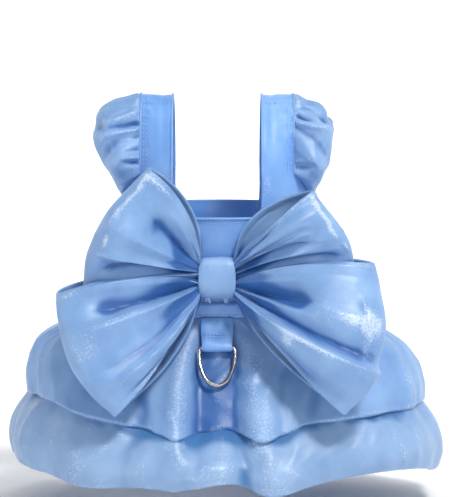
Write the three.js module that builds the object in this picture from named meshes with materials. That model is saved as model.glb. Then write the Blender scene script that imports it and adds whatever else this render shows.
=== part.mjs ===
// A small dog's party dress: a two-tier gathered tutu on a square-necked bodice, with puff sleeves, a big
// double bow and a lead ring on a tab.
// Millimetres, +Z up. The origin is at the top of the shoulders, on the axis of the body. The bow is on the
// -Y side, which is the one shown, and +X is to the right as it is seen.

import * as THREE from 'three';

// Cloth and seams
const CLOTH_WALL = 1.2;
const SEAM_GAP = 0.3;
const LAYER_GAP = 1.2;

// The body that the dress is cut for
const CHEST_HALF_WIDTH = 60;
const CHEST_HALF_DEPTH = 50;
const WAIST_HALF_WIDTH = 56;
const WAIST_HALF_DEPTH = 47;
const UNDERARM_DROP = 62;
const WAIST_DROP = 140;

// Bodice and shoulder straps
const NECKLINE_DROP = 77;
const FAR_NECKLINE_DROP = 72;
const STRAP_BASE_DROP = 50;
const STRAP_INNER_EDGE = 28.5;
const STRAP_WIDTH = 20;

// Waistband and the closure strip on the far side
const WAISTBAND_HEIGHT = 10;
const WAISTBAND_WALL = 3;
const PLACKET_WIDTH = 15;

// Puff sleeves
const CUFF_REACH = 72;
const CUFF_DROP = 48;
const CUFF_HALF_HEIGHT = 18;
const CUFF_HALF_DEPTH = 23;
const CUFF_TILT = 19;
const PUFF_TOP = 15;
const PUFF_SIDE = 10;
const PUFF_UNDER = 2;
const SLEEVE_FOLD_DEPTH = 2.4;

// Upper tier
const UPPER_LENGTH = 65;
const UPPER_HALF_WIDTH = 129;
const UPPER_FRONT_REACH = 98;
const UPPER_FAR_REACH = 92;
const UPPER_FOLD_DEPTH = 9;

// Lower tier
const FLOUNCE_LENGTH = 34;
const LOWER_HALF_WIDTH = 142;
const LOWER_FRONT_REACH = 113;
const LOWER_FAR_REACH = 105;
const LOWER_FOLD_DEPTH = 8;

// Bow
const BOW_HALF_SPAN = 103;
const BOW_HALF_HEIGHT = 80;
const BOW_DEPTH = 50;
const BOW_DRESS_GAP = 2;
const PLEAT_DEPTH = 3.2;
const PLEAT_COUNT = 2.5;
const STRIP_GAP_AT_KNOT = 2.4;
const KNOT_WAISTBAND_GAP = 3.5;
const KNOT_WIDTH = 20;
const KNOT_HEIGHT = 26;
const KNOT_DEPTH = 15;
const KNOT_CORNER = 3;

// Lead ring and its tab
const RING_WIDTH = 25;
const RING_HEIGHT = 28;
const RING_WIRE = 2.6;
const RING_CORNER = 1.5;
const TAB_LENGTH = 22;
const TAB_PLY = 1;
const TAB_EYE_GAP = 0.3;
const RING_SKIRT_GAP = 0.5;
const RING_STRAIGHT_SHARE = 0.3;
const MOST_LEAN = 60;

// Far from the bow, the folds of a tier are even ones
const FAR_RIDGES = 14;
const FAR_RIDGE_SHARE = 0.35;

// How far a tier has come out at the sides and at the front, at a share of its drop
const UPPER_MERIDIAN = [
  { drop: 0, side: 0, front: 0 },
  { drop: 0.04, side: 0.3, front: 0.01 },
  { drop: 0.15, side: 0.58, front: 0.1 },
  { drop: 0.32, side: 0.82, front: 0.27 },
  { drop: 0.55, side: 0.95, front: 0.5 },
  { drop: 0.78, side: 1, front: 0.76 },
  { drop: 1, side: 1, front: 1 },
];
const FLOUNCE_MERIDIAN = [
  { drop: 0, side: 0, front: 0 },
  { drop: 0.22, side: 0.5, front: 0.4 },
  { drop: 0.5, side: 0.9, front: 0.75 },
  { drop: 0.78, side: 1, front: 0.97 },
  { drop: 1, side: 0.86, front: 1 },
];

// Folds of a tier: the angle from the front in degrees, the half-width in degrees, the height as a share of
// the tier's fold depth, and a valley has less than 0
const UPPER_FOLDS = [
  { angle: 0, spread: 5, height: -1.6 },
  { angle: -5, spread: 5, height: -1.7 },
  { angle: 5, spread: 5, height: -1.7 },
  { angle: -11, spread: 6, height: 0.9 },
  { angle: 12, spread: 7, height: 0.9 },
  { angle: -22, spread: 6, height: -0.55 },
  { angle: -42, spread: 15, height: 0.4 },
  { angle: 28, spread: 9, height: -0.4 },
  { angle: 47, spread: 10, height: 0.25 },
  { angle: 66, spread: 9, height: 0.4 },
  { angle: -68, spread: 9, height: -0.3 },
  { angle: 90, spread: 55, height: 0.5 },
  { angle: -90, spread: 55, height: -0.5 },
];
const FLOUNCE_FOLDS = [
  { angle: -50, spread: 10, height: -0.3 },
  { angle: -36, spread: 9, height: 0.5 },
  { angle: -24, spread: 7, height: -0.5 },
  { angle: -4, spread: 13, height: 0.5 },
  { angle: 7, spread: 6, height: -0.7 },
  { angle: 16, spread: 8, height: 0.6 },
  { angle: 33, spread: 10, height: -0.4 },
  { angle: 55, spread: 14, height: 0.5 },
  { angle: 76, spread: 9, height: -0.3 },
  { angle: 96, spread: 50, height: 0.7 },
  { angle: -90, spread: 50, height: -0.9 },
];

// Where the hem of a tier hangs: the angle from the front, and the drop as a share of the tier's length
const UPPER_HEM = [
  { angle: -90, drop: 0.77 },
  { angle: -50, drop: 0.78 },
  { angle: -36, drop: 0.86 },
  { angle: -20, drop: 0.95 },
  { angle: -10, drop: 1.02 },
  { angle: 3, drop: 0.97 },
  { angle: 12, drop: 1.04 },
  { angle: 26, drop: 0.91 },
  { angle: 45, drop: 0.88 },
  { angle: 90, drop: 0.87 },
  { angle: 135, drop: 0.86 },
  { angle: 180, drop: 0.86 },
  { angle: 225, drop: 0.82 },
];
const FLOUNCE_HEM = [
  { angle: -90, drop: 1.3 },
  { angle: -48, drop: 1.22 },
  { angle: -34, drop: 1.14 },
  { angle: -12, drop: 0.86 },
  { angle: 7, drop: 0.82 },
  { angle: 14, drop: 0.9 },
  { angle: 27, drop: 1.02 },
  { angle: 45, drop: 0.96 },
  { angle: 60, drop: 1.02 },
  { angle: 80, drop: 1.26 },
  { angle: 110, drop: 1.2 },
  { angle: 180, drop: 1.1 },
  { angle: 225, drop: 1.2 },
];

// Folds of a sleeve: the angle around the cuff from its top, toward the front and toward the far side
const SLEEVE_FOLDS = [
  { angle: 0, spread: 24, height: 0.6 },
  { angle: 34, spread: 16, height: -0.6 },
  { angle: 56, spread: 14, height: 0.9 },
  { angle: 76, spread: 14, height: -1.1 },
  { angle: 100, spread: 18, height: 0.8 },
  { angle: 126, spread: 16, height: -0.8 },
  { angle: -34, spread: 20, height: -0.6 },
  { angle: -68, spread: 22, height: 0.7 },
  { angle: -104, spread: 20, height: -0.7 },
];

// Rows of a bow loop, top edge first. Reach is a share of the bow's half-span, rise a share of its
// half-height, the bends are shares of the half-span, and lift a share of the bow's depth.
const UPPER_LEFT_ROWS = [
  { reach: 0.42, rise: 0.87, frontBend: 0.08, backBend: 0.1, lift: 0.62 },
  { reach: 0.53, rise: 0.72, frontBend: 0.05, backBend: 0.08, lift: 0.85 },
  { reach: 0.66, rise: 0.54, frontBend: 0.03, backBend: 0.05, lift: 0.95 },
  { reach: 0.74, rise: 0.36, frontBend: 0.01, backBend: 0.02, lift: 1 },
  { reach: 0.79, rise: 0.16, frontBend: 0.02, backBend: 0.02, lift: 0.85 },
  { reach: 0.81, rise: -0.03, frontBend: 0.05, backBend: 0.05, lift: 0.6 },
];
const UPPER_RIGHT_ROWS = [
  { reach: 0.58, rise: 0.69, frontBend: 0.03, backBend: 0.13, lift: 0.7 },
  { reach: 0.65, rise: 0.56, frontBend: 0.04, backBend: 0.1, lift: 0.95 },
  { reach: 0.72, rise: 0.44, frontBend: 0.05, backBend: 0.08, lift: 0.9 },
  { reach: 0.78, rise: 0.34, frontBend: 0.05, backBend: 0.06, lift: 0.9 },
  { reach: 0.82, rise: 0.25, frontBend: 0.05, backBend: 0.05, lift: 0.8 },
  { reach: 0.84, rise: 0.18, frontBend: 0.05, backBend: 0.05, lift: 0.6 },
];
const LOWER_LEFT_ROWS = [
  { reach: 0.98, rise: -0.13, frontBend: 0.04, backBend: 0.04, lift: 0.6 },
  { reach: 0.97, rise: -0.27, frontBend: 0.02, backBend: 0.02, lift: 0.8 },
  { reach: 0.93, rise: -0.46, frontBend: 0.02, backBend: 0.01, lift: 1 },
  { reach: 0.86, rise: -0.66, frontBend: 0, backBend: -0.01, lift: 0.95 },
  { reach: 0.76, rise: -0.82, frontBend: -0.03, backBend: -0.05, lift: 0.95 },
  { reach: 0.68, rise: -0.93, frontBend: -0.05, backBend: -0.08, lift: 0.8 },
  { reach: 0.62, rise: -1.01, frontBend: -0.02, backBend: -0.1, lift: 0.65 },
];
const LOWER_RIGHT_ROWS = [
  { reach: 0.95, rise: 0.1, frontBend: 0.05, backBend: 0.05, lift: 0.6 },
  { reach: 0.98, rise: -0.05, frontBend: 0.04, backBend: 0.04, lift: 0.85 },
  { reach: 1, rise: -0.26, frontBend: 0.01, backBend: 0.01, lift: 0.9 },
  { reach: 0.99, rise: -0.5, frontBend: 0.01, backBend: 0, lift: 1 },
  { reach: 0.93, rise: -0.7, frontBend: 0, backBend: -0.02, lift: 0.95 },
  { reach: 0.85, rise: -0.87, frontBend: -0.02, backBend: -0.05, lift: 0.85 },
  { reach: 0.77, rise: -0.99, frontBend: -0.01, backBend: -0.08, lift: 0.65 },
];

// Where the grids of the soft pieces have their lines
const TIER_COLUMNS = [
  { until: 48, step: 3 },
  { until: 120, step: 6 },
  { until: 240, step: 10 },
  { until: 312, step: 6 },
  { until: 360, step: 3 },
];
const HIDDEN_ROWS = [1, 2, 3, 4, 6];
const BODICE_ROWS = [0, 0.3, 0.65, 1];
const SLEEVE_ROWS = [0, 0.1, 0.26, 0.48, 0.7, 0.88, 1];
const LOOP_STEPS = [0, 0.12, 0.25, 0.38, 0.46, 0.54, 0.63, 0.72, 0.81, 0.91, 1];
const BOW_ROW_STEPS = 11;

// Finishes
const ORGANZA = { color: 0x8fb4ec, roughness: 0.38, metalness: 0.05 };
const BODY_CLOTH = { color: 0x86acea, roughness: 0.45, metalness: 0.05 };
const NICKEL = { color: 0xc9c4c2, roughness: 0.2, metalness: 1 };

const turn = THREE.MathUtils.degToRad;
const blend = THREE.MathUtils.lerp;

// Share of a table's column at a share of its length, eased between the rows around it
function smoothAt(values, share) {
  const place = THREE.MathUtils.clamp(share, 0, 1) * (values.length - 1);
  const low = Math.min(Math.floor(place), values.length - 2);
  const before = values[Math.max(low - 1, 0)];
  const after = values[Math.min(low + 2, values.length - 1)];
  const t = place - low;
  const [a, b] = [values[low], values[low + 1]];
  const rise = (b - before) / 2;
  const fall = (after - a) / 2;
  const cubic = 2 * a - 2 * b + rise + fall;
  const square = 3 * b - 3 * a - 2 * rise - fall;
  return ((cubic * t + square) * t + rise) * t + a;
}

// The value of one column of a table at a key between two rows
function columnAt(table, key, value, at) {
  const upper = table.findIndex((row) => row[key] >= at);
  if (upper <= 0) {
    return table[upper === 0 ? 0 : table.length - 1][value];
  }
  const [a, b] = [table[upper - 1], table[upper]];
  return blend(a[value], b[value], (at - a[key]) / (b[key] - a[key]));
}

// The drop of a hem all round, where its table repeats after a full turn
function hemDrop(table, angle) {
  const first = table[0];
  const round = [...table, { angle: first.angle + 360, drop: first.drop }];
  const wrapped = THREE.MathUtils.euclideanModulo(angle - first.angle, 360) + first.angle;
  const upper = Math.max(round.findIndex((row) => row.angle >= wrapped), 1);
  const [a, b] = [round[upper - 1], round[upper]];
  const share = (wrapped - a.angle) / (b.angle - a.angle);
  return blend(a.drop, b.drop, THREE.MathUtils.smoothstep(share, 0, 1));
}

// The height of the folds at an angle, as a share of the fold depth
function foldAt(table, angle) {
  let height = 0;
  for (const fold of table) {
    const away = THREE.MathUtils.euclideanModulo(angle - fold.angle + 180, 360) - 180;
    const share = Math.abs(away) / fold.spread;
    if (share < 1) {
      height += fold.height * Math.cos(share * Math.PI / 2) ** 2;
    }
  }
  return height;
}

// A rectangular grid of points, one list for each row
function gridOf(columns, rows, point) {
  return rows.map((row) => columns.map((column) => point(column, row)));
}

// The grid moved by a distance along the normal at each point, to the side that a grid's columns turn
// around where they run clockwise as seen along its rows
function insetGrid(grid, distance, closed) {
  const lastRow = grid.length - 1;
  const count = grid[0].length;
  return grid.map((row, i) => row.map((point, j) => {
    const left = closed ? row[(j + count - 1) % count] : row[Math.max(j - 1, 0)];
    const right = closed ? row[(j + 1) % count] : row[Math.min(j + 1, count - 1)];
    const along = right.clone().sub(left);
    const down = grid[Math.min(i + 1, lastRow)][j].clone().sub(grid[Math.max(i - 1, 0)][j]);
    const normal = along.cross(down).normalize();
    return point.clone().addScaledVector(normal, distance);
  }));
}

// A closed body between an outer and an inner grid, joined by a wall along each free edge
function shellOf(outer, inner, closed) {
  const rows = outer.length;
  const count = outer[0].length;
  const spans = closed ? count : count - 1;
  const points = [...outer.flat(), ...inner.flat()];
  const at = (i, j, layer) => layer * rows * count + i * count + (j % count);
  const faces = [];
  const quad = (a, b, c, d) => faces.push(a, b, c, a, c, d);
  for (let j = 0; j < spans; j += 1) {
    for (let i = 0; i < rows - 1; i += 1) {
      quad(at(i, j, 0), at(i, j + 1, 0), at(i + 1, j + 1, 0), at(i + 1, j, 0));
      quad(at(i, j, 1), at(i + 1, j, 1), at(i + 1, j + 1, 1), at(i, j + 1, 1));
    }
    quad(at(0, j, 0), at(0, j, 1), at(0, j + 1, 1), at(0, j + 1, 0));
    quad(at(rows - 1, j, 0), at(rows - 1, j + 1, 0), at(rows - 1, j + 1, 1), at(rows - 1, j, 1));
  }
  for (let i = 0; i < rows - 1 && !closed; i += 1) {
    const end = count - 1;
    quad(at(i, 0, 0), at(i + 1, 0, 0), at(i + 1, 0, 1), at(i, 0, 1));
    quad(at(i, end, 0), at(i, end, 1), at(i + 1, end, 1), at(i + 1, end, 0));
  }
  return facingOut(points, faces);
}

// A geometry whose faces look out, turned over where the enclosed volume comes out less than 0
function facingOut(points, faces) {
  let volume = 0;
  for (let k = 0; k < faces.length; k += 3) {
    const [a, b, c] = [points[faces[k]], points[faces[k + 1]], points[faces[k + 2]]];
    volume += a.dot(b.clone().cross(c));
  }
  const geometry = new THREE.BufferGeometry().setFromPoints(points);
  geometry.setIndex(volume < 0 ? faces.reverse() : faces);
  geometry.computeVertexNormals();
  return geometry;
}

// Half-width and half-depth of the body at a drop below the shoulders
function bodyAt(drop) {
  const down = Math.max(drop - UNDERARM_DROP, 0) / (WAIST_DROP - UNDERARM_DROP);
  const above = Math.max(UNDERARM_DROP - drop, 0) / UNDERARM_DROP;
  return {
    halfWidth: blend(CHEST_HALF_WIDTH, WAIST_HALF_WIDTH, down),
    halfDepth: blend(CHEST_HALF_DEPTH, WAIST_HALF_DEPTH, down) * Math.sqrt(1 - above ** 2),
  };
}

// A point of the body's surface, or one that lies a distance outside it
function bodyPoint(angle, drop, outside = 0) {
  const { halfWidth, halfDepth } = bodyAt(drop);
  const around = turn(angle);
  const x = (halfWidth + outside) * Math.sin(around);
  const y = -(halfDepth + outside) * Math.cos(around);
  return new THREE.Vector3(x, y, -drop);
}

// The angle at which the body's surface has a given distance from the middle plane
function angleOf(x) {
  return THREE.MathUtils.radToDeg(Math.asin(x / CHEST_HALF_WIDTH));
}

const WAISTBAND_TOP = WAIST_DROP - WAISTBAND_HEIGHT;
const STRAP_OUTER_EDGE = STRAP_INNER_EDGE + STRAP_WIDTH;
const INNER_EDGE_ANGLE = angleOf(STRAP_INNER_EDGE);
const OUTER_EDGE_ANGLE = angleOf(STRAP_OUTER_EDGE);
const EDGE_STEP_ANGLE = 1;

// The drop of the bodice's top edge: necklines between the straps, the strap bases, and the armholes
function topEdgeDrop(angle) {
  const fromMiddle = 90 - Math.abs(90 - Math.abs(THREE.MathUtils.euclideanModulo(angle + 180, 360) - 180));
  if (fromMiddle < INNER_EDGE_ANGLE + EDGE_STEP_ANGLE / 2) {
    return Math.cos(turn(angle)) > 0 ? NECKLINE_DROP : FAR_NECKLINE_DROP;
  }
  const share = Math.max(fromMiddle - OUTER_EDGE_ANGLE, 0) / (90 - OUTER_EDGE_ANGLE);
  return blend(STRAP_BASE_DROP, UNDERARM_DROP, Math.sin(share * Math.PI / 2));
}

// Evenly spaced values from one end to the other, both included
function steps(from, to, count) {
  return Array.from({ length: count + 1 }, (_, k) => blend(from, to, k / count));
}

// The angles of the bodice's grid, from the middle of the front once round
function bodiceColumns() {
  const quarter = [
    ...steps(0, INNER_EDGE_ANGLE, 4),
    ...steps(INNER_EDGE_ANGLE + EDGE_STEP_ANGLE, OUTER_EDGE_ANGLE, 3),
    ...steps(OUTER_EDGE_ANGLE, 90, 4).slice(1),
  ];
  const half = [...quarter, ...quarter.slice(0, -1).reverse().map((angle) => 180 - angle)];
  return [...half, ...half.slice(1, -1).reverse().map((angle) => 360 - angle)];
}

// The bodice goes from its top edge to the waistband's top in shares, and on behind the waistband
function bodiceGeometry() {
  const columns = bodiceColumns();
  const grids = [0, -CLOTH_WALL].map((outside) => [
    ...gridOf(columns, BODICE_ROWS, (angle, share) => (
      bodyPoint(angle, blend(topEdgeDrop(angle), WAISTBAND_TOP, share), outside)
    )),
    columns.map((angle) => bodyPoint(angle, WAIST_DROP, outside)),
  ]);
  return shellOf(...grids, true);
}

// A point of a shoulder strap at a distance from the middle plane, where the arch goes from 0 at the front
// to 180 degrees at the far side
function shoulderPoint(x, arch, inset) {
  const across = Math.sqrt(1 - (x / CHEST_HALF_WIDTH) ** 2);
  const y = -(CHEST_HALF_DEPTH * across - inset) * Math.cos(turn(arch));
  const z = (UNDERARM_DROP - inset) * Math.sin(turn(arch)) - UNDERARM_DROP;
  return new THREE.Vector3(x, y, z);
}

// The arch at which a strap starts, clear of the bodice's edge by the seam gap
const STRAP_START = THREE.MathUtils.radToDeg(
  Math.asin((UNDERARM_DROP - STRAP_BASE_DROP + SEAM_GAP) / (UNDERARM_DROP - CLOTH_WALL)),
);

function strapGeometry(side) {
  const columns = steps(STRAP_INNER_EDGE, STRAP_OUTER_EDGE, 3).map((x) => side * x);
  const rows = steps(STRAP_START, 180 - STRAP_START, 12);
  const outer = gridOf(columns, rows, (x, arch) => shoulderPoint(x, arch, 0));
  const inner = gridOf(columns, rows, (x, arch) => shoulderPoint(x, arch, CLOTH_WALL));
  return shellOf(outer, inner, false);
}

// Half of the cuff's round, from its top, that belongs to the strap's edge; the rest is the underarm's
const CUFF_STRAP_ANGLE = 125;

// The edge of the armhole that a sleeve is set in, at an angle around the cuff from its top
function armholePoint(angle) {
  const size = Math.abs(angle);
  const toward = Math.sign(angle) || 1;
  if (size <= CUFF_STRAP_ANGLE) {
    const arch = 90 - (90 - STRAP_START) * size / CUFF_STRAP_ANGLE;
    const point = shoulderPoint(STRAP_OUTER_EDGE + SEAM_GAP, arch, 0);
    return point.setY(point.y * toward);
  }
  const share = (size - CUFF_STRAP_ANGLE) / (180 - CUFF_STRAP_ANGLE);
  const body = blend(OUTER_EDGE_ANGLE, 90, share);
  const point = bodyPoint(body, topEdgeDrop(body));
  const x = Math.max(point.x, STRAP_OUTER_EDGE + SEAM_GAP);
  return new THREE.Vector3(x, point.y * toward, point.z + SEAM_GAP);
}

function cuffPoint(angle) {
  const up = CUFF_HALF_HEIGHT * Math.cos(turn(angle));
  const x = CUFF_REACH + up * Math.sin(turn(CUFF_TILT));
  const z = -CUFF_DROP + up * Math.cos(turn(CUFF_TILT));
  return new THREE.Vector3(x, -CUFF_HALF_DEPTH * Math.sin(turn(angle)), z);
}

// How far and which way the sleeve puffs out halfway along, at an angle around the cuff
function puffAt(angle) {
  const top = Math.max(Math.cos(turn(angle)), 0) * PUFF_TOP;
  const under = Math.max(-Math.cos(turn(angle)), 0) * PUFF_UNDER;
  const across = Math.sin(turn(angle)) * PUFF_SIDE;
  const x = 0.74 * top + 0.35 * Math.abs(across) + 0.3 * under;
  return new THREE.Vector3(x, -0.9 * across, 0.67 * top - 0.95 * under);
}

function sleevePoint(angle, share) {
  const puff = Math.sin(Math.PI * share) ** 0.8;
  const fold = SLEEVE_FOLD_DEPTH * foldAt(SLEEVE_FOLDS, angle) * puff;
  const bulge = puffAt(angle);
  const length = bulge.length();
  bulge.multiplyScalar((puff * length + fold) / length);
  return armholePoint(angle).lerp(cuffPoint(angle), share).add(bulge);
}

function sleeveGeometry(side) {
  const angles = steps(180, -180, 32).slice(0, -1);
  const outer = gridOf(angles, SLEEVE_ROWS, sleevePoint);
  const inner = insetGrid(outer, CLOTH_WALL, true);
  const mirrored = (grid) => grid.map((row) => row.map((point) => point.clone().setX(side * point.x)));
  return shellOf(mirrored(outer), mirrored(inner), true);
}

// A layer of cloth on the body's surface, clear of the bodice by the seam gap
function layerGeometry(columns, rows, wall, closed) {
  const [outer, inner] = [SEAM_GAP + wall, SEAM_GAP].map((outside) => (
    gridOf(columns, rows, (angle, drop) => bodyPoint(angle, drop, outside))
  ));
  return shellOf(outer, inner, closed);
}

function waistbandGeometry() {
  return layerGeometry(bodiceColumns(), [WAISTBAND_TOP, WAIST_DROP], WAISTBAND_WALL, true);
}

function placketGeometry() {
  const half = THREE.MathUtils.radToDeg(PLACKET_WIDTH / 2 / CHEST_HALF_WIDTH);
  const rows = steps(FAR_NECKLINE_DROP, WAISTBAND_TOP - SEAM_GAP, 4);
  return layerGeometry(steps(180 - half, 180 + half, 4), rows, CLOTH_WALL, false);
}

// The angles of both tiers' grids, closest together at the front
function tierColumns() {
  const angles = [0];
  for (const { until, step } of TIER_COLUMNS) {
    while (angles.at(-1) < until) {
      angles.push(Math.min(angles.at(-1) + step, until));
    }
  }
  return angles.slice(0, -1);
}

// Even ridges on the far half, fading out toward the sides
function farRidges(angle) {
  const far = Math.max(-Math.cos(turn(angle)), 0);
  return FAR_RIDGE_SHARE * Math.sqrt(far) * Math.cos(turn(angle) * FAR_RIDGES);
}

// The upper tier leaves the underside of the waistband, and the lower tier the bodice's edge behind it
const SEAM_OUTSIDE = SEAM_GAP + CLOTH_WALL;

function upperPoint(angle, share) {
  const around = turn(angle);
  const reach = Math.cos(around) > 0 ? UPPER_FRONT_REACH : UPPER_FAR_REACH;
  const side = columnAt(UPPER_MERIDIAN, 'drop', 'side', share);
  const front = columnAt(UPPER_MERIDIAN, 'drop', 'front', share);
  const fold = UPPER_FOLD_DEPTH * share * (foldAt(UPPER_FOLDS, angle) + farRidges(angle));
  const halfWidth = blend(WAIST_HALF_WIDTH + SEAM_OUTSIDE, UPPER_HALF_WIDTH, side) + fold;
  const halfDepth = blend(WAIST_HALF_DEPTH + SEAM_OUTSIDE, reach, front) + fold;
  const drop = WAIST_DROP + SEAM_GAP + share * UPPER_LENGTH * hemDrop(UPPER_HEM, angle);
  return new THREE.Vector3(halfWidth * Math.sin(around), -halfDepth * Math.cos(around), -drop);
}

function upperTierGrid() {
  return gridOf(tierColumns(), UPPER_MERIDIAN.map((row) => row.drop), upperPoint);
}

function upperTierGeometry() {
  const outer = upperTierGrid();
  return shellOf(outer, insetGrid(outer, CLOTH_WALL, true), true);
}

// A point of the flounce that shows below the upper tier, from where the hidden part ends
function flouncePoint(angle, start, row) {
  const around = turn(angle);
  const reach = Math.cos(around) > 0 ? LOWER_FRONT_REACH : LOWER_FAR_REACH;
  const fold = LOWER_FOLD_DEPTH * (foldAt(FLOUNCE_FOLDS, angle) + farRidges(angle));
  const x = (LOWER_HALF_WIDTH + fold) * Math.sin(around);
  const y = -(reach + fold) * Math.cos(around);
  const drop = FLOUNCE_LENGTH * hemDrop(FLOUNCE_HEM, angle);
  return new THREE.Vector3(
    blend(start.x, x, row.side),
    blend(start.y, y, blend(row.front, row.side, Math.abs(Math.sin(around)))),
    start.z - SEAM_GAP - row.drop * drop,
  );
}

function lowerTierGeometry() {
  const columns = tierColumns();
  const behind = insetGrid(upperTierGrid(), CLOTH_WALL + LAYER_GAP, true);
  const seam = [0, CLOTH_WALL + LAYER_GAP].map((below) => (
    columns.map((angle) => bodyPoint(angle, WAIST_DROP).setZ(-WAIST_DROP - SEAM_GAP - below))
  ));
  const hidden = HIDDEN_ROWS.map((row) => behind[row]);
  const start = behind.at(-1);
  const flounce = FLOUNCE_MERIDIAN.slice(1).map((row) => (
    columns.map((angle, j) => flouncePoint(angle, start[j], row))
  ));
  const outer = [...seam, ...hidden, ...flounce];
  return shellOf(outer, insetGrid(outer, CLOTH_WALL, true), true);
}

// How far in front of the middle the upper tier lies, at a distance from the middle plane and a drop
function skirtFront(x, drop) {
  let angle = 0;
  let share = 0;
  for (let k = 0; k < 8; k += 1) {
    share = (drop - WAIST_DROP - SEAM_GAP) / (UPPER_LENGTH * hemDrop(UPPER_HEM, angle));
    share = THREE.MathUtils.clamp(share, 0, 1);
    const halfWidth = upperPoint(90, share).x;
    angle = THREE.MathUtils.radToDeg(Math.asin(THREE.MathUtils.clamp(x / halfWidth, -1, 1)));
  }
  return -upperPoint(angle, share).y;
}

// The knot sits just above the waistband
const KNOT_DROP = WAISTBAND_TOP - KNOT_WAISTBAND_GAP - KNOT_HEIGHT / 2;
const KNOT_BACK = bodyAt(KNOT_DROP - KNOT_HEIGHT / 2).halfDepth + SEAM_GAP;
const STRIP_BACK = KNOT_BACK + CLOTH_WALL + SEAM_GAP;
const STRIP_FRONT = KNOT_BACK + KNOT_DEPTH - CLOTH_WALL - SEAM_GAP;
const STRIP_HEIGHT = (KNOT_HEIGHT - STRIP_GAP_AT_KNOT) / 2 - KNOT_CORNER;

// Where a loop lies as it is seen from the front: half of the way out to the tip goes along the back
function loopOutline(rows, share, top, way) {
  const at = (key) => smoothAt(rows.map((row) => row[key]), share);
  const start = new THREE.Vector2(KNOT_WIDTH / 2, top - share * STRIP_HEIGHT);
  const tip = new THREE.Vector2(at('reach') * BOW_HALF_SPAN, at('rise') * BOW_HALF_HEIGHT - KNOT_DROP);
  const out = Math.sin(Math.PI * way) ** 0.85;
  const across = tip.clone().sub(start).normalize();
  const bend = blend(at('backBend'), at('frontBend'), way) * BOW_HALF_SPAN * 4 * out * (1 - out);
  const seen = start.clone().lerp(tip, out);
  seen.x -= across.y * bend;
  seen.y += across.x * bend;
  return { seen, out, lift: at('lift'), below: Math.max(-KNOT_DROP - tip.y, 0) };
}

// The steepest lean that any row of a loop needs to lie clear in front of the skirt
function leanOf(rows, top) {
  let lean = 0;
  for (const share of steps(0, 1, BOW_ROW_STEPS)) {
    for (const way of [0.2, 0.3, 0.4, 0.5]) {
      for (const side of [-1, 1]) {
        const { seen, out, below } = loopOutline(rows, share, top, way);
        if (-seen.y > WAIST_DROP && below > 0) {
          const needed = skirtFront(side * seen.x, -seen.y) + BOW_DRESS_GAP - STRIP_BACK;
          lean = Math.max(lean, needed / (below * out));
        }
      }
    }
  }
  return lean;
}

// A point of a bow strip: the way goes from 0 at the knot's back to 1 at its front, round the loop's tip
function bowPoint(rows, side, top, lean, way, share) {
  const { seen, out, lift, below } = loopOutline(rows, share, top, way);
  const front = 0.5 - 0.5 * Math.cos(Math.PI * way);
  const puff = BOW_DEPTH * lift * front ** 1.5 * Math.sin(Math.PI * way) ** 0.9;
  const pleat = PLEAT_DEPTH * Math.cos(2 * Math.PI * PLEAT_COUNT * share) * 2 * front * out * (1 - out);
  const forward = blend(STRIP_BACK, STRIP_FRONT, front) + puff + pleat + lean * below * out;
  return new THREE.Vector3(side * seen.x, -forward, seen.y);
}

// One strip of the bow: a closed ring with a loop on each side, squeezed together inside the knot
function bowGeometry(leftRows, rightRows, top) {
  const lean = Math.max(leanOf(leftRows, top), leanOf(rightRows, top));
  const columns = [
    ...LOOP_STEPS.map((way) => ({ rows: leftRows, side: -1, way })),
    ...LOOP_STEPS.toReversed().map((way) => ({ rows: rightRows, side: 1, way })),
  ];
  const shares = steps(0, 1, BOW_ROW_STEPS);
  const outer = gridOf(columns, shares, ({ rows, side, way }, share) => (
    bowPoint(rows, side, top, lean, way, share)
  ));
  return shellOf(outer, insetGrid(outer, CLOTH_WALL, true), true);
}

function roundedOutline(Kind, width, height, corner) {
  const outline = new Kind();
  const [x, y] = [width / 2, height / 2];
  outline.moveTo(-x + corner, -y);
  outline.lineTo(x - corner, -y);
  outline.absarc(x - corner, -y + corner, corner, -Math.PI / 2, 0, false);
  outline.lineTo(x, y - corner);
  outline.absarc(x - corner, y - corner, corner, 0, Math.PI / 2, false);
  outline.lineTo(-x + corner, y);
  outline.absarc(-x + corner, y - corner, corner, Math.PI / 2, Math.PI, false);
  outline.lineTo(-x, -y + corner);
  outline.absarc(-x + corner, -y + corner, corner, Math.PI, Math.PI * 1.5, false);
  return outline;
}

// The knot is a band round the bow's middle, open to both sides where the strips go in
function knotGeometry() {
  const shape = roundedOutline(THREE.Shape, KNOT_DEPTH, KNOT_HEIGHT, KNOT_CORNER);
  const wall = 2 * CLOTH_WALL;
  shape.holes.push(
    roundedOutline(THREE.Path, KNOT_DEPTH - wall, KNOT_HEIGHT - wall, KNOT_CORNER - CLOTH_WALL),
  );
  const geometry = new THREE.ExtrudeGeometry(shape, {
    depth: KNOT_WIDTH, bevelEnabled: false, curveSegments: 4, steps: 1,
  });
  geometry.translate(0, 0, -KNOT_WIDTH / 2);
  return geometry;
}

// The lead ring's tab hangs from the waistband's lower edge, and its fold is an eye around the ring's bar
const EYE_HOLE = RING_WIRE / 2 + TAB_EYE_GAP;
const EYE_OUTSIDE = EYE_HOLE + TAB_PLY;
const BAR_DROP = TAB_LENGTH - EYE_OUTSIDE;
const TAB_WIDTH = RING_WIDTH - RING_WIRE - 2 * (RING_CORNER + SEAM_GAP);

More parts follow.
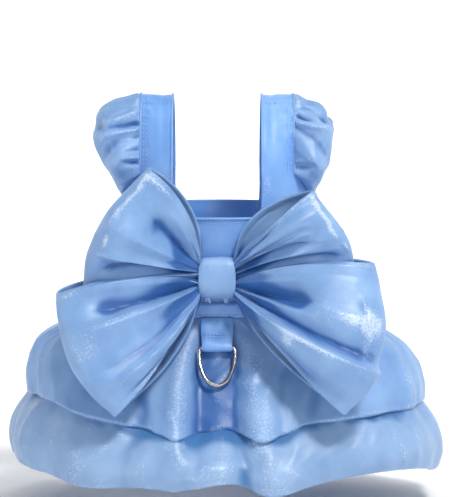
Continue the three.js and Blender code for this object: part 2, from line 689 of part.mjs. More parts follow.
// Seen from the side, with the tab hanging straight down from the origin and its shown face to the left
function tabGeometry() {
  const join = Math.asin(TAB_PLY / EYE_OUTSIDE);
  const shape = new THREE.Shape();
  shape.moveTo(TAB_PLY, 0);
  shape.lineTo(-TAB_PLY, 0);
  shape.absarc(0, -BAR_DROP, EYE_OUTSIDE, Math.PI / 2 + join, Math.PI * 2.5 - join, false);
  const hole = new THREE.Path();
  hole.absarc(0, -BAR_DROP, EYE_HOLE, 0, Math.PI * 2, false);
  shape.holes.push(hole);
  const geometry = new THREE.ExtrudeGeometry(shape, {
    depth: TAB_WIDTH, bevelEnabled: false, curveSegments: 16, steps: 1,
  });
  geometry.translate(0, 0, -TAB_WIDTH / 2);
  return geometry;
}

// The ring's centre line: a straight bar in the eye, two tight corners, and a half-round bow below them
function ringGeometry() {
  const half = (RING_WIDTH - RING_WIRE) / 2;
  const bowTop = RING_CORNER - (RING_HEIGHT - RING_WIRE) * RING_STRAIGHT_SHARE;
  const bowHeight = RING_HEIGHT - RING_WIRE + bowTop;
  const corner = (side, turned) => new THREE.Vector3(
    side * (half - RING_CORNER + RING_CORNER * Math.cos(turn(turned))),
    RING_CORNER * (Math.sin(turn(turned)) - 1),
    0,
  );
  const line = [
    ...steps(90, 0, 3).map((turned) => corner(1, turned)),
    ...steps(0, 180, 16).map((turned) => (
      new THREE.Vector3(half * Math.cos(turn(turned)), bowTop - bowHeight * Math.sin(turn(turned)), 0)
    )),
    ...steps(0, 90, 3).map((turned) => corner(-1, turned)),
  ];
  return closedTube(line, RING_WIRE / 2, 8);
}

// A round wire along a closed flat line, whose points lie in the plane of x and y
function closedTube(line, radius, sides) {
  const around = steps(0, 360, sides).slice(0, -1);
  const rows = line.map((point, k) => {
    const before = line[(k + line.length - 1) % line.length];
    const after = line[(k + 1) % line.length];
    const along = after.clone().sub(before).normalize();
    const outward = new THREE.Vector3(-along.y, along.x, 0);
    return around.map((angle) => {
      const spoke = outward.clone().multiplyScalar(Math.cos(turn(angle)) * radius);
      return spoke.add(point).setZ(Math.sin(turn(angle)) * radius);
    });
  });
  const faces = [];
  rows.forEach((_, i) => {
    const next = ((i + 1) % rows.length) * sides;
    for (let j = 0; j < sides; j += 1) {
      const right = (j + 1) % sides;
      faces.push(i * sides + j, i * sides + right, next + right);
      faces.push(i * sides + j, next + right, next + j);
    }
  });
  return facingOut(rows.flat(), faces);
}

// Whether the tab and the ring lie clear in front of the skirt when they hang out by an angle
function hangsClear(start, lean) {
  const reach = BAR_DROP + RING_HEIGHT;
  const half = RING_WIDTH / 2;
  return steps(TAB_LENGTH / 3, reach, 12).every((down) => {
    const thick = down > TAB_LENGTH / 2 ? EYE_OUTSIDE : TAB_PLY;
    const drop = WAIST_DROP + SEAM_GAP + down * Math.cos(lean) + thick * Math.sin(lean);
    const back = start + down * Math.sin(lean) - thick * Math.cos(lean);
    return steps(-half, half, 6).every((x) => back > skirtFront(x, drop) + RING_SKIRT_GAP);
  });
}

// The least angle, in radians, at which they do
function hangLean(start) {
  const leans = steps(0, MOST_LEAN, MOST_LEAN * 2).map(turn);
  return leans.find((lean) => hangsClear(start, lean)) ?? leans.at(-1);
}

function pieceOf(name, geometry, finish) {
  const piece = new THREE.Mesh(geometry, new THREE.MeshStandardMaterial(finish));
  piece.name = name;
  return piece;
}

// The tab and the ring share one hanging frame, which leans out over the skirt
function hangingGroup() {
  const start = WAIST_HALF_DEPTH + SEAM_GAP + CLOTH_WALL + SEAM_GAP + TAB_PLY;
  const group = new THREE.Group();
  group.position.set(0, -start, -WAIST_DROP - SEAM_GAP);
  group.rotation.x = -hangLean(start);
  const tab = pieceOf('ring_tab', tabGeometry(), BODY_CLOTH);
  tab.rotation.set(Math.PI / 2, 0, Math.PI / 2, 'ZXY');
  const ring = pieceOf('lead_ring', ringGeometry(), NICKEL);
  ring.rotation.x = Math.PI / 2;
  ring.position.z = -BAR_DROP;
  group.add(tab, ring);
  return group;
}

function knotPiece() {
  const knot = pieceOf('bow_knot', knotGeometry(), ORGANZA);
  knot.rotation.y = Math.PI / 2;
  knot.rotation.order = 'XYZ';
  const turned = new THREE.Group();
  turned.position.set(0, -KNOT_BACK - KNOT_DEPTH / 2, -KNOT_DROP);
  turned.rotation.x = Math.PI / 2;
  turned.add(knot);
  return turned;
}

const dress = new THREE.Group();
dress.add(pieceOf('bodice', bodiceGeometry(), BODY_CLOTH));
dress.add(pieceOf('strap_left', strapGeometry(-1), BODY_CLOTH));
dress.add(pieceOf('strap_right', strapGeometry(1), BODY_CLOTH));
dress.add(pieceOf('sleeve_left', sleeveGeometry(-1), ORGANZA));
dress.add(pieceOf('sleeve_right', sleeveGeometry(1), ORGANZA));
dress.add(pieceOf('waistband', waistbandGeometry(), BODY_CLOTH));
dress.add(pieceOf('placket', placketGeometry(), BODY_CLOTH));
dress.add(pieceOf('skirt_upper', upperTierGeometry(), ORGANZA));
dress.add(pieceOf('skirt_lower', lowerTierGeometry(), ORGANZA));
const upperStripTop = -KNOT_DROP + STRIP_GAP_AT_KNOT / 2 + STRIP_HEIGHT;
const lowerStripTop = -KNOT_DROP - STRIP_GAP_AT_KNOT / 2;
dress.add(pieceOf('bow_upper', bowGeometry(UPPER_LEFT_ROWS, UPPER_RIGHT_ROWS, upperStripTop), ORGANZA));
dress.add(pieceOf('bow_lower', bowGeometry(LOWER_LEFT_ROWS, LOWER_RIGHT_ROWS, lowerStripTop), ORGANZA));
dress.add(knotPiece());
dress.add(hangingGroup());

export default dress;
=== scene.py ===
"""The looks of a small dog's tutu dress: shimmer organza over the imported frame.

Lengths are in millimetres up to the point where a mesh is made, and Blender's own metres after it.
+Z is up, the bow is on the -Y side, and +X is to the right as it is seen from there.
"""

import logging
import math
from dataclasses import dataclass, field
from enum import Enum
from typing import Sequence

import bpy
import numpy as np
from bpy.types import Material, Mesh, Node, NodeSocket, NodeTree, Object
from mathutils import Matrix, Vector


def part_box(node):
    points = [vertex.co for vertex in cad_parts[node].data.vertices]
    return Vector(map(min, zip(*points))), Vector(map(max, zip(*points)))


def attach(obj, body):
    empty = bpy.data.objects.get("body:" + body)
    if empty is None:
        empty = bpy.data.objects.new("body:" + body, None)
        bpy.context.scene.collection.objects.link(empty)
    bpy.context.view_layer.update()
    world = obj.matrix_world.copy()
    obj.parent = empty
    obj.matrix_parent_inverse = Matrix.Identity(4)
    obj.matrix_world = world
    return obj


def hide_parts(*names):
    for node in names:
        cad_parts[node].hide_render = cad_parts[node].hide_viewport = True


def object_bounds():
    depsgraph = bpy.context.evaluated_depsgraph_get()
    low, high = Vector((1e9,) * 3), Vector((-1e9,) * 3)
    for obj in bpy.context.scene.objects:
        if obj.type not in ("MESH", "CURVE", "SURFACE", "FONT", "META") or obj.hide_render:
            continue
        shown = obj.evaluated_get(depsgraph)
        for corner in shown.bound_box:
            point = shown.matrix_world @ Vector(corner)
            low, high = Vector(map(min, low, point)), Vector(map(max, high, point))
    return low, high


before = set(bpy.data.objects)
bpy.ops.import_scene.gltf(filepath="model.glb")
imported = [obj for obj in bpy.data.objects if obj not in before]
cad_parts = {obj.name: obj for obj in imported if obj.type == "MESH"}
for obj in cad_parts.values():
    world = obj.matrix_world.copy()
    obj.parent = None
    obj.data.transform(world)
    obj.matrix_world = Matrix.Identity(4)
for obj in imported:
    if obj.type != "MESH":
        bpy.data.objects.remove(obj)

LOG = logging.getLogger("dress")
CAD_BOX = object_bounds()
MM = 0.001
WAVE_TEXTURE_PERIOD = math.pi / 10  # of Blender's wave texture at a scale of 1
MIX_FIRST_COLOUR, MIX_SECOND_COLOUR, MIX_COLOUR_RESULT = 6, 7, 2  # sockets of a Mix node
SHARP_EDGE = math.radians(62)
# Painted highlight on proud creases: these set how proud a crease must stand to get pale glint specks.
CREST_GLINT_HEIGHT = 0.6  # mm; a crease this proud counts as 1
CREST_GLINT_FROM = 0.3
CREST_GLINT_MOST = 0.45

Grid = np.ndarray
Table = Sequence[dict[str, float]]


class Held(Enum):
    """How a sheet of the dress is held."""

    STRETCHED = "stretched"
    GATHERED = "gathered"
    FOLDED = "folded"


class Slot(Enum):
    """The material slots of the record."""

    ORGANZA = "organza"
    BODICE_CLOTH = "bodice_cloth"
    RING_METAL = "ring_metal"


def rows_of(names: str, *rows: Sequence[float | None]) -> Table:
    """Makes a short table with named columns.

    Args:
        names: The names of the columns, with a space between them.
        *rows: The values of each row, with None where a row leaves a column out.

    Returns:
        The table.
    """
    keys = names.split()
    return tuple({key: value for key, value in zip(keys, row) if value is not None} for row in rows)


def node_box(node: str) -> tuple[np.ndarray, np.ndarray]:
    """Gives the lowest and the highest corner of a node, in millimetres.

    Args:
        node: The node's name in the frame.

    Returns:
        The two corners.
    """
    low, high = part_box(node)
    return np.array(low) / MM, np.array(high) / MM


def blend(a: Grid | float, b: Grid | float, share: Grid | float) -> Grid | float:
    """Gives the value at a share of the way from a to b."""
    return a + (b - a) * share


def smoothstep(low: float, high: float, at: Grid | float) -> Grid:
    """Gives a smooth rise from 0 at low to 1 at high."""
    share = np.clip((np.asarray(at, float) - low) / (high - low), 0, 1)
    return share * share * (3 - 2 * share)


def curve_at(keys: Sequence[float], values: Sequence[float], at: Grid) -> Grid:
    """Reads a smooth curve that goes through the rows of a short table.

    Args:
        keys: The table's keys, rising.
        values: The value at each key.
        at: Where to read it.

    Returns:
        The curve's values, of the same shape as at.
    """
    x = np.asarray(keys, float)
    y = np.asarray(values, float)
    slope = np.gradient(y, x)
    low = np.clip(np.searchsorted(x, at) - 1, 0, len(x) - 2)
    step = x[low + 1] - x[low]
    t = np.clip((at - x[low]) / step, 0, 1)
    rise = (1 + 2 * t) * (1 - t) ** 2 * y[low] + t * t * (3 - 2 * t) * y[low + 1]
    return rise + step * (t * (1 - t) ** 2 * slope[low] - t * t * (1 - t) * slope[low + 1])


def column(table: Table, key: str) -> list[float]:
    """Gives one named column of a table."""
    return [row[key] for row in table]


def hem_drop(table: Table, angle: Grid) -> Grid:
    """Gives how far a hem hangs at each angle, from a table that repeats after a full turn."""
    first = table[0]["angle"]
    keys = column(table, "angle")
    drops = column(table, "drop")
    keys = [keys[-1] - 360, *keys, keys[0] + 360]
    drops = [drops[-1], *drops, drops[0]]
    return curve_at(keys, drops, (angle - first) % 360 + first)


def fold_height(table: Table, angle: Grid) -> Grid:
    """Adds up the folds of a table, each a soft ridge or valley about its own angle.

    Args:
        table: Rows of angle, spread and height.
        angle: Where to read them, in degrees.

    Returns:
        The height at each angle, in the table's own unit.
    """
    height = np.zeros_like(angle, dtype=float)
    for fold in table:
        away = np.abs((angle - fold["angle"] + 180) % 360 - 180)
        share = np.clip(away / fold["spread"], 0, 1)
        height += fold["height"] * np.cos(share * np.pi / 2) ** 2
    return height


class SoftNoise:
    """Smooth repeatable noise over a sheet, from a small lattice of seeded values."""

    def __init__(self, seed: int, around: int, down: int) -> None:
        """Draws the lattice.

        Args:
            seed: The seed of its values.
            around: Cells along u, which repeats.
            down: Cells along v, which doesn't.
        """
        self.around = around
        self.down = down
        self.values = np.random.default_rng(seed).uniform(-1, 1, (down + 3, around))

    @staticmethod
    def weights(t: Grid) -> tuple[Grid, Grid, Grid, Grid]:
        """Gives the four weights of a cubic through evenly spaced values."""
        return (
            ((2 - t) * t - 1) * t / 2,
            ((3 * t - 5) * t * t + 2) / 2,
            ((4 - 3 * t) * t + 1) * t / 2,
            (t - 1) * t * t / 2,
        )

    def at(self, u: Grid, v: Grid) -> Grid:
        """Reads the noise, from about -1 to 1.

        Args:
            u: Shares of a full turn along the sheet.
            v: Shares of the way down it.

        Returns:
            The noise at each place.
        """
        x = np.asarray(u, float) % 1 * self.around
        y = np.clip(np.asarray(v, float), 0, 1) * self.down
        i = np.floor(x).astype(int)
        j = np.minimum(np.floor(y).astype(int), self.down - 1)
        across = self.weights(x - i)
        along = self.weights(y - j)
        total = 0.0
        for b in range(4):
            for a in range(4):
                value = self.values[j + b, (i + a - 1) % self.around]
                total = total + value * across[a] * along[b]
        return total

    def crease(self, u: Grid, v: Grid) -> Grid:
        """Reads it as sharp ridges between round hollows, from -1 to about 1."""
        return 1 - 2 * np.sqrt(self.at(u, v) ** 2 + 0.01)


def normals_of(grid: Grid, closed: bool) -> Grid:
    """Gives the unit normal of a grid of points, on the side that its columns and rows turn to.

    Args:
        grid: Points by row and column.
        closed: Whether the last column meets the first.

    Returns:
        One normal for each point.
    """
    if closed:
        along = np.roll(grid, -1, 1) - np.roll(grid, 1, 1)
    else:
        along = np.gradient(grid, axis=1)
    down = np.gradient(grid, axis=0)
    normal = np.cross(down, along)
    return normal / np.maximum(np.linalg.norm(normal, axis=2, keepdims=True), 1e-9)


def raised(grid: Grid, height: Grid, closed: bool) -> Grid:
    """Moves each point of a grid along its normal by a height."""
    return grid + normals_of(grid, closed) * height[..., None]


def rolled_edge(grid: Grid, radius: float, turn_back: float, closed: bool, steps: int = 9) -> Grid:
    """Rolls the last row of a grid in, as a turned hem.

    Args:
        grid: Points by row and column, with its outside where normals_of points.
        radius: Radius of the roll, in millimetres.
        turn_back: Length of the cloth that goes back behind the roll.
        closed: Whether the last column meets the first.
        steps: Rows of the roll.

    Returns:
        The grid with the rows of the roll added.
    """
    edge = grid[-1]
    inward = -normals_of(grid, closed)[-1]
    outward = grid[-1] - grid[-3]
    outward -= (outward * inward).sum(1, keepdims=True) * inward
    outward /= np.maximum(np.linalg.norm(outward, axis=1, keepdims=True), 1e-9)
    rows = []
    for step in range(1, steps + 1):
        turned = math.pi * step / steps
        rows.append(edge + radius * (math.sin(turned) * outward + (1 - math.cos(turned)) * inward))
    for share in (0.3, 0.65, 1):
        rows.append(rows[steps - 1] - outward * turn_back * share - inward * radius * 0.9 * share)
    return np.concatenate([grid, np.array(rows)])


def rolled_both(grid: Grid, radius: float, turn_back: float, closed: bool) -> Grid:
    """Rolls the first and the last row of a grid in."""
    once = rolled_edge(grid, radius, turn_back, closed)
    return rolled_edge(once[::-1, ::-1], radius, turn_back, closed)[::-1, ::-1]


def table_curve(table: Table, by: str, key: str, at: Grid) -> Grid:
    """Reads one column of a table as a smooth curve over another one.

    Args:
        table: The table.
        by: The name of the column that it is read by, rising.
        key: The name of the column that is read.
        at: Where to read it.

    Returns:
        The curve's values.
    """
    return curve_at(column(table, by), column(table, key), at)


def signed_power(values: Grid, power: float) -> Grid:
    """Raises the sizes of values to a power, and keeps their signs."""
    return np.sign(values) * np.abs(values) ** power


def over_rolls(values: Grid, grid: Grid) -> Grid:
    """Carries values of a grid over the rows that rolled_both added to it."""
    rows = (len(grid) - len(values)) // 2
    return np.pad(values, ((rows, rows), (0, 0)), mode="edge")


def tube_along(path: Grid, radius: Grid | float, sides: int, closed: bool, flat: float = 1.0) -> Grid:
    """Makes a round or flattened tube along a path.

    Args:
        path: Points of the path.
        radius: One radius, or one for each point, in millimetres.
        sides: Columns around the tube.
        closed: Whether the path's ends meet.
        flat: The tube's depth as a share of its height.

    Returns:
        The tube's grid, with a row for each point of the path and a closed round of columns.
    """
    if closed:
        along = np.roll(path, -1, 0) - np.roll(path, 1, 0)
    else:
        along = np.gradient(path, axis=0)
    along /= np.linalg.norm(along, axis=1, keepdims=True)
    outward = path * np.array([1, 1, 0])
    outward -= (outward * along).sum(1, keepdims=True) * along
    outward /= np.maximum(np.linalg.norm(outward, axis=1, keepdims=True), 1e-9)
    side = np.cross(along, outward)
    turns = np.linspace(0, 2 * np.pi, sides, endpoint=False)
    size = np.broadcast_to(radius, (len(path),))[:, None, None]
    turns = turns[None, :, None]
    spoke = outward[:, None] * np.cos(turns) * flat + side[:, None] * np.sin(turns)
    return path[:, None] + spoke * size


def linear(colour: str) -> tuple[float, float, float, float]:
    """Turns an sRGB hex colour to Blender's linear values.

    Args:
        colour: Six hex digits after a #.

    Returns:
        Red, green, blue and an alpha of 1.
    """
    parts = [int(colour[k:k + 2], 16) / 255 for k in (1, 3, 5)]
    red, green, blue = [p / 12.92 if p <= 0.04045 else ((p + 0.055) / 1.055) ** 2.4 for p in parts]
    return red, green, blue, 1.0


def feed(tree: NodeTree, node: Node, inputs: dict) -> None:
    """Sets inputs of a node.

    Args:
        tree: The material's node tree.
        node: The node.
        inputs: For an input's name or number, its value or the socket that feeds it.
    """
    for name, value in inputs.items():
        if isinstance(value, NodeSocket):
            tree.links.new(value, node.inputs[name])
        else:
            node.inputs[name].default_value = value


def add_node(tree: NodeTree, kind: str, inputs: dict | None = None, **settings) -> Node:
    """Adds a node to a tree.

    Args:
        tree: The material's node tree.
        kind: The node's type name.
        inputs: For an input's name or number, its value or the socket that feeds it.
        **settings: Attributes of the node.

    Returns:
        The new node.
    """
    node = tree.nodes.new(kind)
    for name, value in settings.items():
        setattr(node, name, value)
    feed(tree, node, inputs or {})
    return node


def new_material(name: str) -> tuple[Material, NodeTree, Node, Node]:
    """Starts a material.

    Args:
        name: What the real one is.

    Returns:
        The material, its node tree, its Principled BSDF and a Texture Coordinate node.
    """
    made = bpy.data.materials.new(name)
    made.use_nodes = True
    tree = made.node_tree
    return made, tree, tree.nodes["Principled BSDF"], add_node(tree, "ShaderNodeTexCoord")


@dataclass(frozen=True)
class ShimmerCloth:
    """A woven cloth with a metallic shimmer: two colours of fine bright yarn, pressed smooth.

    Its coat reflects as a satin does, so a fold that turns to the light goes paler, and a fine bump
    breaks that highlight into specks. The near-white specks are partly painted highlight: pale glint
    mixed into the colour on proud creases and marked patches. Down in the folds a painted shade, a deeper
    blue, is mixed in.
    """

    name: str
    colour: str
    deep_colour: str
    pale_colour: str
    metallic: float = 0.0
    roughness: float = 0.5
    sheen: float = 0.25
    gloss: float = 0.15
    # Painted highlight: pale glint specks mixed into the colour where the mesh marks crests and patches.
    glint: float = 0.62  # how far the painted highlight, pale glint specks, lightens the colour
    glint_colour: str = "#e3effc"
    glint_speckle: float = 2.4  # how much the speck noise decides where the painted highlight falls
    thread_spacing: float = 0.8  # mm; a real 0.15 mm weave is too fine to show
    crumple_size: float = 2.4  # mm
    crumple_depth: float = 0.1  # mm
    speck_size: float = 1.1  # mm
    speck_depth: float = 0.22  # mm, in the gloss of the bright yarns alone

    def material(self) -> Material:
        """Makes the cloth's material."""
        made, tree, shader, place = new_material(self.name)
        feed(tree, shader, {
            "Metallic": self.metallic,
            "Sheen Weight": self.sheen,
            "Sheen Roughness": 0.35,
            "Sheen Tint": linear("#e6f0ff"),
            "Specular IOR Level": 0.8,
            "Anisotropic": 0.4,
            "Coat Weight": self.gloss,
            "Coat Roughness": 0.27,
        })
        self.tone_and_painted_light(tree, shader, place.outputs["Object"])
        self.relief(tree, shader, place)
        return made

    def tone_and_painted_light(self, tree: NodeTree, shader: Node, here: NodeSocket) -> None:
        """Sets the colour and the roughness: cloudy variation of tone, a painted shade of deeper blue
        down in the folds, and painted highlight specks where the mesh marks them.

        Args:
            tree: The material's node tree.
            shader: Its Principled BSDF.
            here: The object's own coordinates.
        """
        cloud = add_node(tree, "ShaderNodeTexNoise", {"Vector": here, "Scale": 38.0, "Detail": 4.0})
        tone = add_node(tree, "ShaderNodeValToRGB", {"Fac": cloud.outputs["Fac"]})
        tone.color_ramp.elements[0].position = 0.3
        tone.color_ramp.elements[0].color = linear(self.colour)
        tone.color_ramp.elements[1].position = 0.75
        tone.color_ramp.elements[1].color = linear(self.pale_colour)
        # Painted shade: the depth of each fold darkens the tone toward the deeper blue.
        valley = add_node(tree, "ShaderNodeAttribute", attribute_name="valley")
        deep = add_node(tree, "ShaderNodeMapRange", {
            "Value": valley.outputs["Fac"], "From Min": 0.05, "From Max": 1.0, "To Max": 0.95,
        })
        inputs = {
            "Factor": deep.outputs["Result"],
            MIX_FIRST_COLOUR: tone.outputs["Color"],
            MIX_SECOND_COLOUR: linear(self.deep_colour),
        }
        tone_and_painted_shade = add_node(tree, "ShaderNodeMix", inputs, data_type="RGBA")
        # Painted highlight: where the mesh marks it, speck noise mixes the pale glint colour in.
        painted_glint = add_node(tree, "ShaderNodeAttribute", attribute_name="painted_glint")
        glint_speck_noise = add_node(tree, "ShaderNodeTexNoise", {
            "Vector": here, "Scale": 0.8 / (self.speck_size * MM), "Detail": 3.0, "Roughness": 0.7,
        })
        inputs = {0: glint_speck_noise.outputs["Fac"], 1: self.glint_speckle, 2: painted_glint.outputs["Fac"]}
        glint_speckle = add_node(tree, "ShaderNodeMath", inputs, operation="MULTIPLY_ADD")
        inputs = {"Value": glint_speckle.outputs[0], "From Min": 1.5, "From Max": 2.5, "To Max": self.glint}
        glint = add_node(tree, "ShaderNodeMapRange", inputs, interpolation_type="SMOOTHSTEP")
        inputs = {
            "Factor": glint.outputs["Result"],
            MIX_FIRST_COLOUR: tone_and_painted_shade.outputs[MIX_COLOUR_RESULT],
            MIX_SECOND_COLOUR: linear(self.glint_colour),
        }
        bright = add_node(tree, "ShaderNodeMix", inputs, data_type="RGBA")
        patches = add_node(tree, "ShaderNodeTexNoise", {"Vector": here, "Scale": 70.0, "Detail": 3.0})
        gloss = add_node(tree, "ShaderNodeMapRange", {
            "Value": patches.outputs["Fac"], "From Min": 0.3, "From Max": 0.7,
            "To Min": self.roughness - 0.07, "To Max": self.roughness + 0.09,
        })
        feed(tree, shader, {
            "Base Color": bright.outputs[MIX_COLOUR_RESULT], "Roughness": gloss.outputs["Result"],
        })

    def relief(self, tree: NodeTree, shader: Node, place: Node) -> None:
        """Adds the bump of the weave, of crumples and of the specks in them.

        Args:
            tree: The material's node tree.
            shader: Its Principled BSDF.
            place: Its Texture Coordinate node.
        """
        threads = WAVE_TEXTURE_PERIOD / (self.thread_spacing * MM)
        inputs = {"Vector": place.outputs["UV"], "Scale": threads, "Distortion": 0.6}
        warp = add_node(tree, "ShaderNodeTexWave", inputs, bands_direction="X")
        weft = add_node(tree, "ShaderNodeTexWave", inputs, bands_direction="Y")
        inputs = {0: warp.outputs["Fac"], 1: weft.outputs["Fac"]}
        weave = add_node(tree, "ShaderNodeMath", inputs, operation="MULTIPLY")
        crumple, speck = (
            add_node(
                tree, "ShaderNodeTexNoise",
                {"Vector": place.outputs["Object"], "Scale": scale, "Detail": detail, "Distortion": bent},
                noise_type="RIDGED_MULTIFRACTAL", normalize=True,
            )
            for scale, detail, bent in (
                (1 / (self.crumple_size * MM), 1.0, 0.6), (0.5 / (self.speck_size * MM), 2.0, 0.8),
            )
        )
        woven = add_node(tree, "ShaderNodeBump", {
            "Height": weave.outputs[0], "Strength": 0.35, "Distance": 0.03 * MM,
        })
        crumpled = add_node(tree, "ShaderNodeBump", {
            "Height": crumple.outputs["Fac"], "Normal": woven.outputs["Normal"],
            "Strength": 1.0, "Distance": self.crumple_depth * MM,
        })
        specked = add_node(tree, "ShaderNodeBump", {
            "Height": speck.outputs["Fac"], "Normal": crumpled.outputs["Normal"],
            "Strength": 1.0, "Distance": self.speck_depth * MM,
        })
        feed(tree, shader, {
            "Normal": crumpled.outputs["Normal"], "Coat Normal": specked.outputs["Normal"],
        })


@dataclass(frozen=True)
class SewingThread:
    """Spun polyester thread: a soft dull pale blue."""

    name: str = "spun polyester thread"
    colour: str = "#a9c8f4"
    deep_colour: str = "#7fa6e0"

    def material(self) -> Material:
        """Makes the thread's material, with its twist as fine stripes."""
        made, tree, shader, place = new_material(self.name)
        inputs = {"Vector": place.outputs["Object"], "Scale": 2500.0, "Detail": 2.0}
        twist = add_node(tree, "ShaderNodeTexNoise", inputs)
        tone = add_node(tree, "ShaderNodeValToRGB", {"Fac": twist.outputs["Fac"]})
        tone.color_ramp.elements[0].color = linear(self.deep_colour)
        tone.color_ramp.elements[1].color = linear(self.colour)
        bump = add_node(tree, "ShaderNodeBump", {"Height": twist.outputs["Fac"], "Distance": 0.05 * MM})
        feed(tree, shader, {
            "Base Color": tone.outputs["Color"], "Roughness": 0.7, "Normal": bump.outputs["Normal"],
        })
        return made


@dataclass(frozen=True)
class NickelPlate:
    """Bright nickel plate on bent steel wire: mirror-like, a little warm, with fine drawing lines."""

    name: str = "bright nickel plate"
    colour: str = "#cbc5c1"
    dull_colour: str = "#aca6a3"
    roughness: float = 0.14

    def material(self) -> Material:
        """Makes the metal's material."""
        made, tree, shader, place = new_material(self.name)
        inputs = {"Vector": place.outputs["Object"], "Scale": 420.0, "Detail": 5.0}
        handled = add_node(tree, "ShaderNodeTexNoise", inputs)
        tone = add_node(tree, "ShaderNodeValToRGB", {"Fac": handled.outputs["Fac"]})
        tone.color_ramp.elements[0].color = linear(self.dull_colour)
        tone.color_ramp.elements[1].color = linear(self.colour)
        gloss = add_node(tree, "ShaderNodeMapRange", {
            "Value": handled.outputs["Fac"],
            "To Min": self.roughness - 0.05, "To Max": self.roughness + 0.12,
        })
        bump = add_node(tree, "ShaderNodeBump", {"Height": handled.outputs["Fac"], "Distance": 0.02 * MM})
        feed(tree, shader, {
            "Base Color": tone.outputs["Color"], "Roughness": gloss.outputs["Result"],
            "Metallic": 1.0, "Normal": bump.outputs["Normal"],
        })
        return made


def depth_below(grid: Grid, closed: bool, reach: int) -> Grid:
    """Measures how far each point lies below the cloth around it.

    Args:
        grid: Points by row and column.
        closed: Whether the last column meets the first.
        reach: How many points on each side count as around it.

    Returns:
        A depth for each point in millimetres, below 0 where it stands proud.
    """
    smooth = grid
    for _ in range(3):
        for axis in (0, 1):
            pads = [(0, 0), (0, 0), (0, 0)]
            pads[axis] = (reach, reach)
            wide = np.pad(smooth, pads, mode="wrap" if closed and axis == 1 else "edge")
            summed = np.cumsum(np.insert(wide, 0, 0, axis=axis), axis=axis)
            size = 2 * reach + 1
            if axis == 0:
                smooth = (summed[size:] - summed[:-size]) / size
            else:
                smooth = (summed[:, size:] - summed[:, :-size]) / size
    return ((smooth - grid) * normals_of(grid, closed)).sum(2)


def cloth_object(
    name: str,
    grid: Grid,
    closed: bool,
    wall: float,
    finish: Material,
    valley_reach: int = 6,
    painted_glint: Grid | None = None,
    deep_at: Grid | float = 1.3,
    crest_glint: float = 1,
    shade: float = 0,
) -> Object:
    """Makes a piece of cloth from its outer surface, with its own thickness behind it.

    Args:
        name: The piece's name.
        grid: Its outer surface, in millimetres, by row and column.
        closed: Whether the last column meets the first.
        wall: Its thickness in millimetres.
        finish: Its material.
        valley_reach: Points on each side that count as around a point, for the depth of its folds.
        painted_glint: How much painted highlight, pale glint specks, each point gets, from 0 to 1.
        deep_at: The depth of a fold, in millimetres, at which its painted shade is darkest.
        crest_glint: How much painted highlight its proud creases get.
        shade: How much painted shade, a deeper blue, it gets even where it lies flat, from 0 to 1.

    Returns:
        The piece.
    """
    rows, count = grid.shape[:2]
    spans = count if closed else count - 1
    inner = grid - normals_of(grid, closed) * wall
    points = np.concatenate([grid.reshape(-1, 3), inner.reshape(-1, 3)]) * MM
    i, j = np.meshgrid(np.arange(rows - 1), np.arange(spans), indexing="ij")
    i, j = i.ravel(), j.ravel()
    corners_i = np.stack([i, i + 1, i + 1, i], 1)
    corners_j = np.stack([j, j, j + 1, j + 1], 1)
    behind = np.full(len(i), rows * count)[:, None]
    outer_faces = corners_i * count + corners_j % count
    faces = [outer_faces, outer_faces[:, ::-1] + behind]
    places = [(corners_i, corners_j), (corners_i[:, ::-1], corners_j[:, ::-1])]
    k = np.arange(spans)
    for row, turned in ((0, False), (rows - 1, True)):
        near = row * count + k
        far = row * count + (k + 1) % count
        rim = np.stack([near, far, far + rows * count, near + rows * count], 1)
        rim_i = np.full_like(rim, row)
        rim_j = np.stack([k, k + 1, k + 1, k], 1)
        faces.append(rim[:, ::-1] if turned else rim)
        places.append((rim_i, rim_j[:, ::-1] if turned else rim_j))
    if not closed:
        m = np.arange(rows - 1)
        for end, turned in ((0, True), (count - 1, False)):
            near = m * count + end
            far = (m + 1) * count + end
            rim = np.stack([near, far, far + rows * count, near + rows * count], 1)
            rim_i = np.stack([m, m + 1, m + 1, m], 1)
            rim_j = np.full_like(rim, end)
            faces.append(rim[:, ::-1] if turned else rim)
            places.append((rim_i[:, ::-1] if turned else rim_i, rim_j))
    quads = np.concatenate(faces)
    mesh = bpy.data.meshes.new(name)
    mesh.vertices.add(len(points))
    mesh.vertices.foreach_set("co", points.ravel())
    mesh.loops.add(quads.size)
    mesh.loops.foreach_set("vertex_index", quads.ravel().astype(np.int32))
    mesh.polygons.add(len(quads))
    mesh.polygons.foreach_set("loop_start", np.arange(0, quads.size, 4, dtype=np.int32))
    mesh.polygons.foreach_set("use_smooth", np.ones(len(quads), dtype=bool))
    mesh.update(calc_edges=True)
    lay_out(mesh, grid, closed, places)
    # Painted light kept on the points: a painted shade from the depth of the folds, and a painted
    # highlight on proud creases and on the marks given.
    around = depth_below(grid, closed, valley_reach)
    proud = -depth_below(grid, closed, 2) / CREST_GLINT_HEIGHT
    glint_mask = crest_glint * np.clip(proud - CREST_GLINT_FROM, 0, CREST_GLINT_MOST)
    if painted_glint is not None:
        glint_mask = glint_mask * 0.5 + painted_glint
    for attribute, values in (("valley", shade + around / deep_at), ("painted_glint", glint_mask)):
        layer = mesh.attributes.new(attribute, "FLOAT", "POINT")
        layer.data.foreach_set("value", np.tile(np.clip(values, 0, 1).ravel(), 2))
    mesh.materials.append(finish)
    mesh.validate()
    mesh.set_sharp_from_angle(angle=SHARP_EDGE)
    piece = bpy.data.objects.new(name, mesh)
    bpy.context.scene.collection.objects.link(piece)
    return piece


